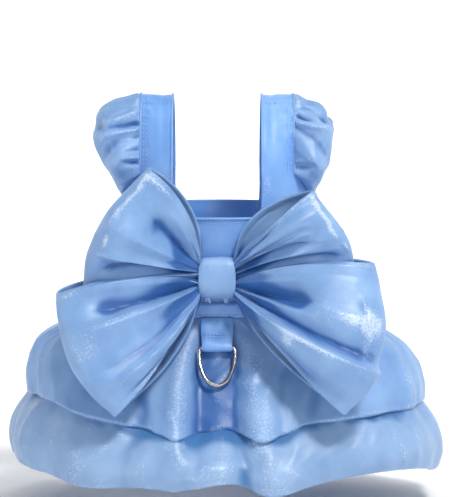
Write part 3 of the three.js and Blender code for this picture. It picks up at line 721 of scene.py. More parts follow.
def lay_out(mesh: Mesh, grid: Grid, closed: bool, places: list[tuple[Grid, Grid]]) -> None:
    """Gives a cloth mesh a UV map in metres of cloth, along its columns and down its rows.

    Args:
        mesh: The mesh, with one quad for each row of places.
        grid: The outer surface that it was made from.
        closed: Whether the last column meets the first.
        places: For each group of faces, the row and the column of each corner.
    """
    widest = int(np.argmax(np.linalg.norm(np.diff(grid, axis=1), axis=2).sum(1)))
    row = np.concatenate([grid[widest], grid[widest, :1]]) if closed else grid[widest]
    along = np.concatenate([[0], np.cumsum(np.linalg.norm(np.diff(row, axis=0), axis=1))])
    step = np.linalg.norm(np.diff(grid, axis=0), axis=2).mean(1)
    down = np.concatenate([[0], np.cumsum(step)])
    corner_i = np.concatenate([place[0] for place in places])
    corner_j = np.concatenate([place[1] for place in places])
    uv = np.stack([along[corner_j] * MM, -down[corner_i] * MM], 2)
    layer = mesh.uv_layers.new(name="cloth")
    layer.data.foreach_set("uv", uv.ravel().astype(np.float32))


def thread_object(name: str, grid: Grid, faces: list[tuple], finish: Material) -> Object:
    """Makes a closed piece of thread or cord.

    Args:
        name: The piece's name.
        grid: Its points, in millimetres.
        faces: The numbers of each face's points.
        finish: Its material.

    Returns:
        The piece.
    """
    mesh = bpy.data.meshes.new(name)
    mesh.from_pydata([tuple(point) for point in grid.reshape(-1, 3) * MM], [], faces)
    mesh.polygons.foreach_set("use_smooth", np.ones(len(faces), dtype=bool))
    mesh.materials.append(finish)
    piece = bpy.data.objects.new(name, mesh)
    bpy.context.scene.collection.objects.link(piece)
    turn_outward(piece)
    return piece


def tube_object(name: str, tube: Grid, closed_path: bool, finish: Material) -> Object:
    """Makes a solid cord of cloth or thread from a tube's grid.

    Args:
        name: The piece's name.
        tube: Points by place along the path and by place around it, in millimetres.
        closed_path: Whether the path's ends meet.
        finish: Its material.

    Returns:
        The piece.
    """
    rows, sides = tube.shape[:2]
    faces = []
    for i in range(rows if closed_path else rows - 1):
        for j in range(sides):
            a, b = i * sides + j, i * sides + (j + 1) % sides
            c, d = ((i + 1) % rows) * sides + (j + 1) % sides, ((i + 1) % rows) * sides + j
            faces.append((a, b, c, d))
    if not closed_path:
        faces.append(tuple(range(sides))[::-1])
        faces.append(tuple((rows - 1) * sides + j for j in range(sides)))
    return thread_object(name, tube, faces, finish)


def only(piece: Object) -> None:
    """Selects one piece and nothing else, and makes it the active one."""
    bpy.ops.object.select_all(action="DESELECT")
    piece.select_set(True)
    bpy.context.view_layer.objects.active = piece


def turn_outward(piece: Object) -> None:
    """Turns a closed piece's faces so that they all look out."""
    only(piece)
    bpy.ops.object.mode_set(mode="EDIT")
    bpy.ops.mesh.select_all(action="SELECT")
    bpy.ops.mesh.normals_make_consistent(inside=False)
    bpy.ops.object.mode_set(mode="OBJECT")
    piece.select_set(False)


def dress(
    piece: Object,
    slot: Slot,
    *nodes: str,
    flat: tuple[float, float] | None = None,
    held: Held = Held.STRETCHED,
    rests_on: Sequence[str] = (),
    with_pieces: Sequence[Object] = (),
) -> None:
    """Puts a piece under the root, and hides the parts of the frame that it stands for.

    Args:
        piece: The piece.
        slot: The material slot that it takes its finish from; not used.
        *nodes: The nodes that it stands for.
        flat: The width and length that a sheet was cut to, in metres; not used.
        held: How a sheet is held; not used.
        rests_on: What a sheet lies on or hangs from; not used.
        with_pieces: Separate pieces on a sheet; not used.
    """
    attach(piece, "root")
    if nodes:
        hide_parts(*nodes)
    LOG.info("%s: %d faces", piece.name, len(piece.data.polygons))


def read_along(run: Grid, points: Grid, at: Grid) -> Grid:
    """Reads a path at lengths along it.

    Args:
        run: The length at each of its points.
        points: The points, or a direction at each of them.
        at: The lengths to read.

    Returns:
        A point or a direction for each length.
    """
    return np.stack([np.interp(at, run, points[:, k]) for k in range(3)], 1)


def stitch_row(path: Grid, outward: Grid, spacing: float, length: float, radius: float) -> Grid:
    """Places stitches along a path.

    Args:
        path: Points of the path, in millimetres.
        outward: The direction away from the cloth at each point.
        spacing: Distance from one stitch to the next.
        length: Length of a stitch.
        radius: Half the thickness of the thread.

    Returns:
        Points by stitch, by place along it and by place around it.
    """
    run = np.concatenate([[0], np.cumsum(np.linalg.norm(np.diff(path, axis=0), axis=1))])
    at = np.arange(spacing / 2, run[-1], spacing)
    middle, out = read_along(run, path, at), read_along(run, outward, at)
    along = read_along(run, path, at + 0.5) - read_along(run, path, at - 0.5)
    along /= np.linalg.norm(along, axis=1, keepdims=True)
    out -= (out * along).sum(1, keepdims=True) * along
    out /= np.linalg.norm(out, axis=1, keepdims=True)
    side = np.cross(along, out)
    share = np.linspace(-1, 1, 7)[None, :, None, None]
    turns = np.linspace(0, 2 * np.pi, 6, endpoint=False)[None, None, :, None]
    thick = radius * (1.02 - share ** 4) ** 0.5
    lift = radius * 0.9 * (1 - share ** 2)
    reach = along[:, None, None] * share * length / 2
    rise = out[:, None, None] * (lift + thick * np.cos(turns))
    return middle[:, None, None] + reach + rise + side[:, None, None] * thick * np.sin(turns)


def stitching(name: str, rows: Sequence[Grid], finish: Material) -> Object:
    """Joins rows of stitches to one piece.

    Args:
        name: The piece's name.
        rows: The results of stitch_row.
        finish: The thread's material.

    Returns:
        The piece.
    """
    every = np.concatenate(rows)
    count, places, sides = every.shape[:3]
    one = [
        (
            i * sides + j,
            i * sides + (j + 1) % sides,
            (i + 1) * sides + (j + 1) % sides,
            (i + 1) * sides + j,
        )
        for i in range(places - 1)
        for j in range(sides)
    ]
    ends = [tuple(range(sides))[::-1], tuple((places - 1) * sides + j for j in range(sides))]
    faces = [tuple(k + n * places * sides for k in face) for n in range(count) for face in one + ends]
    return thread_object(name, every, faces, finish)


@dataclass(frozen=True)
class Finishes:
    """The materials of the dress, made once."""

    organza: Material
    sheer_organza: Material
    bodice_cloth: Material
    thread: Material
    nickel: Material


@dataclass
class Body:
    """The body that the dress is cut for, with the sizes of the solids."""

    chest_half_width: float = 60
    chest_half_depth: float = 50
    waist_half_width: float = 56
    waist_half_depth: float = 47
    underarm_drop: float = 62
    waist_drop: float = 140

    def point(self, angle: Grid, drop: Grid, outside: Grid | float = 0) -> Grid:
        """Gives a point of the body's surface.

        Args:
            angle: Degrees from the middle of the shown side.
            drop: Millimetres below the shoulders.
            outside: Distance off the surface.

        Returns:
            The points.
        """
        down = np.maximum(drop - self.underarm_drop, 0) / (self.waist_drop - self.underarm_drop)
        above = np.clip((self.underarm_drop - drop) / self.underarm_drop, 0, 1)
        half_width = blend(self.chest_half_width, self.waist_half_width, down)
        half_depth = blend(self.chest_half_depth, self.waist_half_depth, down) * np.sqrt(1 - above ** 2)
        around = np.radians(angle)
        x = (half_width + outside) * np.sin(around)
        y = -(half_depth + outside) * np.cos(around)
        return np.stack(np.broadcast_arrays(x, y, -np.asarray(drop, float)), -1)

    def shoulder(self, x: Grid | float, arch: Grid | float, inset: float = 0) -> Grid:
        """Gives a point of the arch over a shoulder.

        Args:
            x: Distance from the middle plane.
            arch: Degrees over the shoulder, from 0 on the shown side to 180 on the far one.
            inset: Distance inside the arch.

        Returns:
            The points.
        """
        across = np.sqrt(1 - (x / self.chest_half_width) ** 2)
        turned = np.radians(arch)
        y = -(self.chest_half_depth * across - inset) * np.cos(turned)
        z = (self.underarm_drop - inset) * np.sin(turned) - self.underarm_drop
        return np.stack(np.broadcast_arrays(np.asarray(x, float), y, z), -1)

    def angle_of(self, x: float) -> float:
        """Gives the angle at which the surface is a distance from the middle plane."""
        return math.degrees(math.asin(x / self.chest_half_width))


@dataclass
class Bodice:
    """The bodice with its neckline, its two shoulder straps, and the placket on the far side."""

    body: Body
    finishes: Finishes
    neckline_drop: float = 77
    strap_base_drop: float = 50
    strap_inner_edge: float = 28.5
    strap_width: float = 20
    waistband_height: float = 10
    placket_width: float = 15
    wall: float = 0.9
    seam_gap: float = 0.3
    piping_radius: float = 0.95
    stitch_spacing: float = 2.9
    stitch_length: float = 2.0
    stitch_radius: float = 0.26
    stitch_inset: float = 2.6
    edge_lift: float = 0.35
    pull_depth: float = 0.7
    gather_depth: float = 0.35
    crease_depth: float = 0.5
    wave_depth: float = 0.6
    channel_depth: float = 0.55
    piping_sides: int = 10
    piping_flatness: float = 0.75
    placket_thickness: float = 1.1
    placket_wave: float = 0.35
    placket_wall: float = 1.0
    shoulder_seam_arch: float = 66
    far_neckline_drop: float = field(init=False)
    inner_angle: float = field(init=False)
    outer_angle: float = field(init=False)

    def __post_init__(self) -> None:
        """Works out what follows from the other sizes and from the frame."""
        self.far_neckline_drop = -float(node_box("placket")[1][2])
        self.inner_angle = self.body.angle_of(self.strap_inner_edge)
        self.outer_angle = self.body.angle_of(self.strap_inner_edge + self.strap_width)

    def top_edge(self, angle: Grid) -> Grid:
        """Gives the drop of the top edge: necklines, strap bases and armholes."""
        turned = np.abs((angle + 180) % 360 - 180)
        from_middle = 90 - np.abs(90 - turned)
        share = np.clip((from_middle - self.outer_angle) / (90 - self.outer_angle), 0, 1)
        arm = blend(self.strap_base_drop, self.body.underarm_drop, np.sin(share * np.pi / 2))
        neckline = np.where(turned < 90, self.neckline_drop, self.far_neckline_drop)
        return np.where(from_middle < self.inner_angle + 0.5, neckline, arm)

    def columns(self) -> Grid:
        """Gives the angles of the bodice's grid, with one just before and one just after each corner."""
        quarter = np.concatenate([
            np.linspace(0, self.inner_angle, 24),
            np.linspace(self.inner_angle + 1, self.outer_angle, 14),
            np.linspace(self.outer_angle, 90, 24)[1:],
        ])
        half = np.concatenate([quarter, 180 - quarter[-2::-1]])
        return np.concatenate([half, 360 - half[-2:0:-1]])

    def shell(self) -> Grid:
        """Makes the bodice's outer surface, with soft wrinkles that the fit pulls into it."""
        angle, share = np.meshgrid(self.columns(), np.linspace(0, 1, 46))
        drop = blend(self.top_edge(angle), self.body.waist_drop, share)
        grid = self.body.point(angle, drop)
        pulls = SoftNoise(11, 26, 3).at(angle / 360, share) * self.pull_depth
        gathers = SoftNoise(12, 90, 4).at(angle / 360, share) * self.gather_depth
        gathers = gathers * smoothstep(0.45, 1, share)
        ends_flat = smoothstep(0, 0.12, share) * smoothstep(0, 0.08, 1 - share)
        return raised(grid, (pulls + gathers) * ends_flat, True)

    def strap_start(self) -> float:
        """Gives the arch angle at which a strap leaves the bodice's edge."""
        rise = self.body.underarm_drop - self.strap_base_drop
        return math.degrees(math.asin(rise / self.body.underarm_drop))

    def strap(self, side: int) -> Grid:
        """Makes a strap's outer surface.

        Args:
            side: 1 for the right strap, -1 for the left one.

        Returns:
            Its grid.
        """
        inner, outer = self.strap_inner_edge, self.strap_inner_edge + self.strap_width
        ends = (outer, inner) if side > 0 else (-inner, -outer)
        start = self.strap_start()
        x, arch = np.meshgrid(
            np.linspace(*ends, 26), np.linspace(start, 180 - start, 130)
        )
        grid = self.body.shoulder(x, arch)
        out = (np.abs(x) - inner) / self.strap_width
        creases = SoftNoise(21 + side, 5, 26).crease(out * 0.7, arch / 180)
        soft = SoftNoise(31 + side, 3, 7).at(out * 0.6, arch / 180)
        channel = -np.exp(-((out - 0.3) / 0.12) ** 2)
        height = creases * self.crease_depth * out ** 2
        height = height + soft * self.wave_depth * np.sin(out * np.pi) + channel * self.channel_depth
        ends_flat = smoothstep(start, start + 14, arch) * smoothstep(start, start + 14, 180 - arch)
        return raised(grid, height * ends_flat, False)

    def neck_edge(self, away: float) -> tuple[Grid, Grid]:
        """Follows the neck opening once round: neckline, strap, far neckline and the other strap.

        Args:
            away: Distance from the edge onto the cloth.

        Returns:
            The path and the direction off the cloth at each of its points.
        """
        edge = self.strap_inner_edge + away
        corner = self.body.angle_of(edge)
        start = self.strap_start()
        base, lift = self.strap_base_drop, self.edge_lift
        top, far_top = self.neckline_drop + away, self.far_neckline_drop + away
        point, shoulder = self.body.point, self.body.shoulder
        right = np.concatenate([
            point(np.linspace(0, corner, 30), top, lift),
            point(corner, np.linspace(top, base, 20)[1:], lift),
            shoulder(edge, np.linspace(start, 90, 50)[1:], -lift),
            shoulder(edge, np.linspace(90, 180 - start, 50)[1:], -lift),
            point(180 - corner, np.linspace(base, far_top, 16)[1:], lift),
            point(np.linspace(180 - corner, 180, 30)[1:], far_top, lift),
        ])
        left = right[-2:0:-1] * np.array([-1, 1, 1])
        path = np.concatenate([right, left])
        for _ in range(2):
            path = (np.roll(path, 1, 0) + path * 2 + np.roll(path, -1, 0)) / 4
        above = np.clip((path[:, 2:3] + self.body.underarm_drop) / self.body.underarm_drop, 0, 1)
        out = path * np.array([0, 1, 0]) / self.body.chest_half_depth + np.array([0, 0, 1]) * above
        out += path * np.array([1, 0, 0]) / self.body.chest_half_width * (1 - above)
        return path, out / np.linalg.norm(out, axis=1, keepdims=True)

    def placket(self) -> Grid:
        """Makes the plain strip over the fastening, on the far side."""
        half = math.degrees(self.placket_width / 2 / self.body.chest_half_width)
        top = self.far_neckline_drop
        angle, drop = np.meshgrid(
            np.linspace(180 - half, 180 + half, 22),
            np.linspace(top + 0.4, self.body.waist_drop - self.waistband_height - self.seam_gap, 60),
        )
        across = (angle - 180) / half
        thick = self.placket_thickness * (1 - across ** 6 * 0.6)
        wavy = SoftNoise(41, 4, 12).at(across * 0.3, (drop - top) / 60) * self.placket_wave
        return self.body.point(angle, drop, self.seam_gap + thick + wavy)

    def sewing(self) -> list[Grid]:
        """Makes the stitch rows along the neck opening, the placket and the strap's shoulder seam."""
        size = (self.stitch_spacing, self.stitch_length, self.stitch_radius)
        path, out = self.neck_edge(self.stitch_inset)
        rows = []
        for turned in (-1, 1):
            edge = (path[:, 1] * turned > 0) & (np.abs(path[:, 0]) < self.strap_inner_edge)
            edge &= path[:, 2] < -self.strap_base_drop
            order = np.argsort(path[edge][:, 0])
            rows.append(stitch_row(path[edge][order], out[edge][order], *size))
        half = math.degrees((self.placket_width / 2 - 1.8) / self.body.chest_half_width)
        band_top = self.body.waist_drop - self.waistband_height
        drop = np.linspace(self.far_neckline_drop + 2, band_top - 2, 60)
        for turned in (-half, half):
            path = self.body.point(180 + turned, drop, self.seam_gap + 1.3)
            rows.append(stitch_row(path, path * np.array([1, 1, 0]), *size))
        for side in (-1, 1):
            inner = self.strap_inner_edge
            x = side * np.linspace(inner + 1.5, inner + self.strap_width - 1, 20)
            path = self.body.shoulder(x, np.full_like(x, self.shoulder_seam_arch), -0.25)
            rows.append(stitch_row(path, path - np.array([0, 0, -self.body.underarm_drop]), *size))
        return rows

    def build(self) -> None:
        """Makes and dresses the pieces."""
        cloth = self.finishes.bodice_cloth
        shell = cloth_object("bodice_cloth", self.shell(), True, self.wall, cloth)
        piping_path, _ = self.neck_edge(0.1)
        tube = tube_along(
            piping_path, self.piping_radius, self.piping_sides, True, self.piping_flatness
        )
        piping = tube_object("neck_piping", tube, True, cloth)
        threads = stitching("bodice_stitching", self.sewing(), self.finishes.thread)
        dress(threads, Slot.BODICE_CLOTH)
        dress(piping, Slot.BODICE_CLOTH)
        dress(
            shell, Slot.BODICE_CLOTH, "bodice", flat=(0.36, 0.08), with_pieces=[piping, threads],
            rests_on=["strap_left", "strap_right"],
        )
        for name, side in (("left", -1), ("right", 1)):
            strap = cloth_object(f"strap_{name}_cloth", self.strap(side), False, self.wall, cloth)
            dress(strap, Slot.BODICE_CLOTH, f"strap_{name}", flat=(0.02, 0.14), rests_on=["bodice"])
        placket = cloth_object("placket_cloth", self.placket(), False, self.placket_wall, cloth)
        dress(placket, Slot.BODICE_CLOTH, "placket", flat=(0.015, 0.06), rests_on=["bodice"])


@dataclass
class Sleeves:
    """The two puff sleeves, gathered into the armholes."""

    bodice: Bodice
    finishes: Finishes
    cuff_reach: float = 72
    cuff_drop: float = 48
    cuff_half_height: float = 18
    cuff_half_depth: float = 23
    cuff_tilt: float = 19
    puff_top: float = 15
    puff_side: float = 10
    puff_under: float = 2
    fold_depth: float = 2.6
    strap_angle: float = 125
    wall: float = 0.6
    gather_depth: float = 0.8
    seam_wave: float = 0.5
    puff_wave: float = 1.5
    fine_depth: float = 0.35
    crumple_depth: float = 0.22
    cuff_radius: float = 1.2
    cuff_turn_back: float = 4
    welt_radius: float = 0.95
    welt_bump: float = 0.3
    welt_flatness: float = 0.8
    stitch_rows: tuple[tuple[float, float], ...] = ((1.4, 0.3), (3.6, 0.25))
    top_slope: tuple[float, float] = (2.5, 4.5)
    left_reach: Table = rows_of(
        "height reach",
        (-66, 0.7), (-59, 0.78), (-52, 0.87), (-46, 0.95), (-38, 1), (-28, 1.05), (-20, 0.98),
        (-10, 0.93), (0, 0.85),
    )
    right_reach: Table = rows_of(
        "height reach",
        (-66, 0.75), (-55, 0.84), (-46, 0.92), (-37, 0.9), (-28, 0.85), (-20, 0.84), (-12, 0.8),
        (0, 0.76),
    )
    left_pleats: Table = rows_of(
        "height slope width depth to",
        (-7, -2, 1.3, -1.1, 0.4), (-12, -3, 3.4, 1.5, 0.85), (-17.6, -6, 2.5, -3.1, 0.95),
        (-22, -6, 2.0, 1.6, 0.8), (-26.5, -3, 1.2, -1.2, 0.32), (-34.5, -4, 1.5, -1.5, 0.4),
        (-39.5, -2, 1.5, 1.2, 0.45), (-43, 0, 2.4, -2.6, 0.5),
    )
    right_pleats: Table = rows_of(
        "height slope width depth to",
        (-4, -2, 1.4, 0.9, 0.7), (-8, -3, 1.6, -1.3, 0.5), (-13.5, -4, 2.4, -2.9, 0.95),
        (-18, -6, 1.7, 2.1, 0.95), (-42, 3, 1.1, 1.3, 0.28), (-46, 0, 3.2, -1.8, 0.7),
    )
    folds: Table = rows_of(
        "angle spread height",
        (0, 24, 0.6), (34, 16, -0.6), (56, 14, 0.9), (76, 14, -1.1), (100, 18, 0.8),
        (126, 16, -0.8), (-34, 20, -0.6), (-68, 22, 0.7), (-104, 20, -0.7),
    )

    def armhole(self, angle: Grid) -> Grid:
        """Gives the armhole's edge at angles around the cuff from its top."""
        body, bodice = self.bodice.body, self.bodice
        edge = bodice.strap_inner_edge + bodice.strap_width + bodice.seam_gap
        size = np.abs(angle)
        toward = np.where(angle < 0, -1, 1)
        start = bodice.strap_start()
        arch = 90 - (90 - start) * np.minimum(size / self.strap_angle, 1)
        over = body.shoulder(np.full_like(size, edge), arch)
        share = np.clip((size - self.strap_angle) / (180 - self.strap_angle), 0, 1)
        round_body = blend(bodice.outer_angle, 90, share)
        under = body.point(round_body, bodice.top_edge(round_body))
        under[..., 0] = np.maximum(under[..., 0], edge)
        under[..., 2] += bodice.seam_gap
        point = np.where((size <= self.strap_angle)[..., None], over, under)
        point[..., 1] *= toward
        return point

    def surface(self, angle: Grid, share: Grid) -> Grid:
        """Gives the right sleeve's surface, from the armhole to the cuff."""
        turned = np.radians(angle)
        tilt = math.radians(self.cuff_tilt)
        up = self.cuff_half_height * np.cos(turned)
        cuff = np.stack([
            self.cuff_reach + up * math.sin(tilt),
            -self.cuff_half_depth * np.sin(turned),
            -self.cuff_drop + up * math.cos(tilt),
        ], -1)
        top = np.maximum(np.cos(turned), 0) * self.puff_top
        under = np.maximum(-np.cos(turned), 0) * self.puff_under
        across = np.sin(turned) * self.puff_side
        bulge = np.stack([
            0.74 * top + 0.35 * np.abs(across) + 0.3 * under,
            -0.9 * across,
            0.67 * top - 0.95 * under,
        ], -1)
        length = np.maximum(np.linalg.norm(bulge, axis=-1, keepdims=True), 1e-6)
        puff = (np.sin(np.pi * share) ** 0.8)[..., None]
        fold = self.fold_depth * fold_height(self.folds, angle)[..., None] * puff
        base = blend(self.armhole(angle), cuff, share[..., None])
        return base + bulge / length * (puff * length + fold)

    def settled(self, point: Grid, side: int) -> Grid:
        """Lets the puff slope down from the seam and draw in below, by what each sleeve does.

        Args:
            point: The main form, as the right sleeve.
            side: 1 for the right sleeve, -1 for the left one.

        Returns:
            The settled form.
        """
        which = 0 if side < 0 else 1
        edge = self.bodice.strap_inner_edge + self.bodice.strap_width + self.bodice.seam_gap
        out = np.maximum(point[..., 0] - edge, 0)
        height = point[..., 2]
        table = self.left_reach if side < 0 else self.right_reach
        reach = table_curve(table, "height", "reach", height)
        slope = self.top_slope[which] * smoothstep(0, 13, out) * smoothstep(-34, -4, height)
        moved = point.copy()
        moved[..., 0] = np.where(point[..., 0] > edge, edge + out * reach, point[..., 0])
        moved[..., 2] = height - slope
        return moved

    def pleats(self, point: Grid, share: Grid, side: int) -> Grid:
        """Gives the relief of the gathers that fan out from the armhole seam.

        Args:
            point: The settled form.
            share: Share of the way from the seam to the cuff.
            side: 1 for the right sleeve, -1 for the left one.

        Returns:
            The height at each point, in millimetres.
        """
        table = self.left_pleats if side < 0 else self.right_pleats
        far_shift = 4.5 * smoothstep(-4, 4, point[..., 1])
        height = np.zeros_like(share)
        for pleat in table:
            middle = pleat["height"] + pleat["slope"] * share + far_shift
            width = pleat["width"] * (0.55 + 1.1 * share)
            window = smoothstep(0, 0.05, share) * (1 - smoothstep(pleat["to"] - 0.45, pleat["to"], share))
            height += pleat["depth"] * np.exp(-((point[..., 2] - middle) / width) ** 2) * window
        return height

    def grid(self, side: int) -> Grid:
        """Makes one sleeve's outer surface with its gathers.

        Args:
            side: 1 for the right sleeve, -1 for the left one.

        Returns:
            Its grid, with the cuff rolled in.
        """
        angles = np.linspace(180, -180, 240, endpoint=False)
        angle, share = np.meshgrid(angles, np.linspace(0, 1, 62))
        grid = self.settled(self.surface(angle, share), side)
        round_share = angle / 360
        above = smoothstep(150, 110, np.abs(angle))
        steep = smoothstep(0.93, 0.6, np.abs(normals_of(grid, True)[..., 2]))
        gathers = SoftNoise(51 + side, 34, 2).crease(round_share, share)
        broad = SoftNoise(56 + side, 19, 1).at(round_share, share)
        fine = SoftNoise(61 + side, 80, 3).at(round_share, share)
        crumple = SoftNoise(71 + side, 30, 8).crease(round_share, share)
        height = gathers * self.gather_depth * np.exp(-share * 4.2) * above
        waves = self.seam_wave * np.exp(-(1 - share) * 6)
        waves = waves + self.puff_wave * (1 - steep) * np.sin(np.pi * share)
        height += broad * waves
        height += fine * self.fine_depth * np.exp(-share * 6)
        height += crumple * self.crumple_depth * np.sin(np.pi * share)
        height += self.pleats(grid, share, side) * above * steep
        grid = raised(grid, height * smoothstep(0, 0.04, share), True)
        grid = rolled_edge(grid, self.cuff_radius, self.cuff_turn_back, True)
        if side < 0:
            grid = grid[:, ::-1] * np.array([-1, 1, 1])
        return grid

    def seam(self, side: int, along: float, off: float) -> Grid:
        """Makes the stitches along an armhole seam.

        Args:
            side: 1 for the right sleeve, -1 for the left one.
            along: How far onto the strap the row lies.
            off: How far off the cloth.

        Returns:
            The row of stitches.
        """
        bodice = self.bodice
        x = bodice.strap_inner_edge + bodice.strap_width - along
        arch = np.linspace(bodice.strap_start() + 2, 178 - bodice.strap_start(), 120)
        path = bodice.body.shoulder(np.full_like(arch, x), arch, -off) * np.array([side, 1, 1])
        out = path - np.array([side * x, 0, -bodice.body.underarm_drop])
        return stitch_row(path, out, bodice.stitch_spacing, bodice.stitch_length, bodice.stitch_radius)

    def welt(self, side: int) -> Grid:
        """Makes the folded seam allowance that stands up along the armhole, as a tube."""
        angle = np.linspace(-self.strap_angle - 10, self.strap_angle + 10, 150)
        path = self.armhole(angle)
        path = path + np.array([0.2, 0, 0.5])
        bumps = SoftNoise(81 + side, 60, 1).at(angle / 400, angle * 0)
        radius = self.welt_radius + self.welt_bump * bumps
        tube = tube_along(path, radius, 8, False, self.welt_flatness)
        return tube * np.array([side, 1, 1])

    def build(self) -> None:
        """Makes and dresses both sleeves."""
        for name, side in (("left", -1), ("right", 1)):
            organza = self.finishes.organza
            sleeve = cloth_object(f"sleeve_{name}_cloth", self.grid(side), True, self.wall, organza)
            welt = tube_object(f"sleeve_{name}_seam", self.welt(side), False, organza)
            rows = [self.seam(side, along, off) for along, off in self.stitch_rows]
            threads = stitching(f"sleeve_{name}_stitching", rows, self.finishes.thread)
            dress(welt, Slot.ORGANZA)
            dress(threads, Slot.ORGANZA)
            dress(
                sleeve, Slot.ORGANZA, f"sleeve_{name}", flat=(0.2, 0.04), held=Held.GATHERED,
                rests_on=[f"strap_{name}", "bodice"], with_pieces=[welt, threads],
            )


@dataclass
class Waistband:
    """The flat band that covers the seams of the tiers."""

    body: Body
    finishes: Finishes
    height: float = 10
    wall: float = 3.0
    gap: float = 0.3
    cloth_wall: float = 1.2
    pucker_depth: float = 0.22
    groove_depth: float = 0.35
    groove_width: float = 0.6
    stitch_rise: float = 2.2
    stitch: tuple[float, float, float] = (2.6, 1.9, 0.24)  # spacing, length and radius

    def grid(self) -> Grid:
        """Makes the band's outer surface, rounded off at both edges."""
        top = self.body.waist_drop - self.height
        angle, share = np.meshgrid(np.linspace(0, 360, 300, endpoint=False), np.linspace(0, 1, 22))
        edge = np.abs(share * 2 - 1)
        outside = self.gap + self.wall * (1 - 0.55 * edge ** 5)
        pucker = SoftNoise(91, 120, 2).at(angle / 360, share) * self.pucker_depth
        below_stitches = share * self.height - self.height + self.stitch_rise
        groove = -self.groove_depth * np.exp(-(below_stitches / self.groove_width) ** 2)
        return self.body.point(angle, top + share * self.height, outside + pucker + groove)

    def build(self) -> None:
        """Makes and dresses the band."""
        cloth = self.finishes.bodice_cloth
        band = cloth_object("waistband_cloth", self.grid(), True, self.cloth_wall, cloth)
        angle = np.linspace(0, 360, 300)
        path = self.body.point(angle, self.body.waist_drop - self.stitch_rise, self.gap + self.wall - 0.2)
        row = stitch_row(path, path * np.array([1, 1, 0]), *self.stitch)
        threads = stitching("waistband_stitching", [row], self.finishes.thread)
        dress(threads, Slot.BODICE_CLOTH)
        dress(
            band, Slot.BODICE_CLOTH, "waistband", flat=(0.35, 0.012), rests_on=["bodice"],
            with_pieces=[threads],
        )


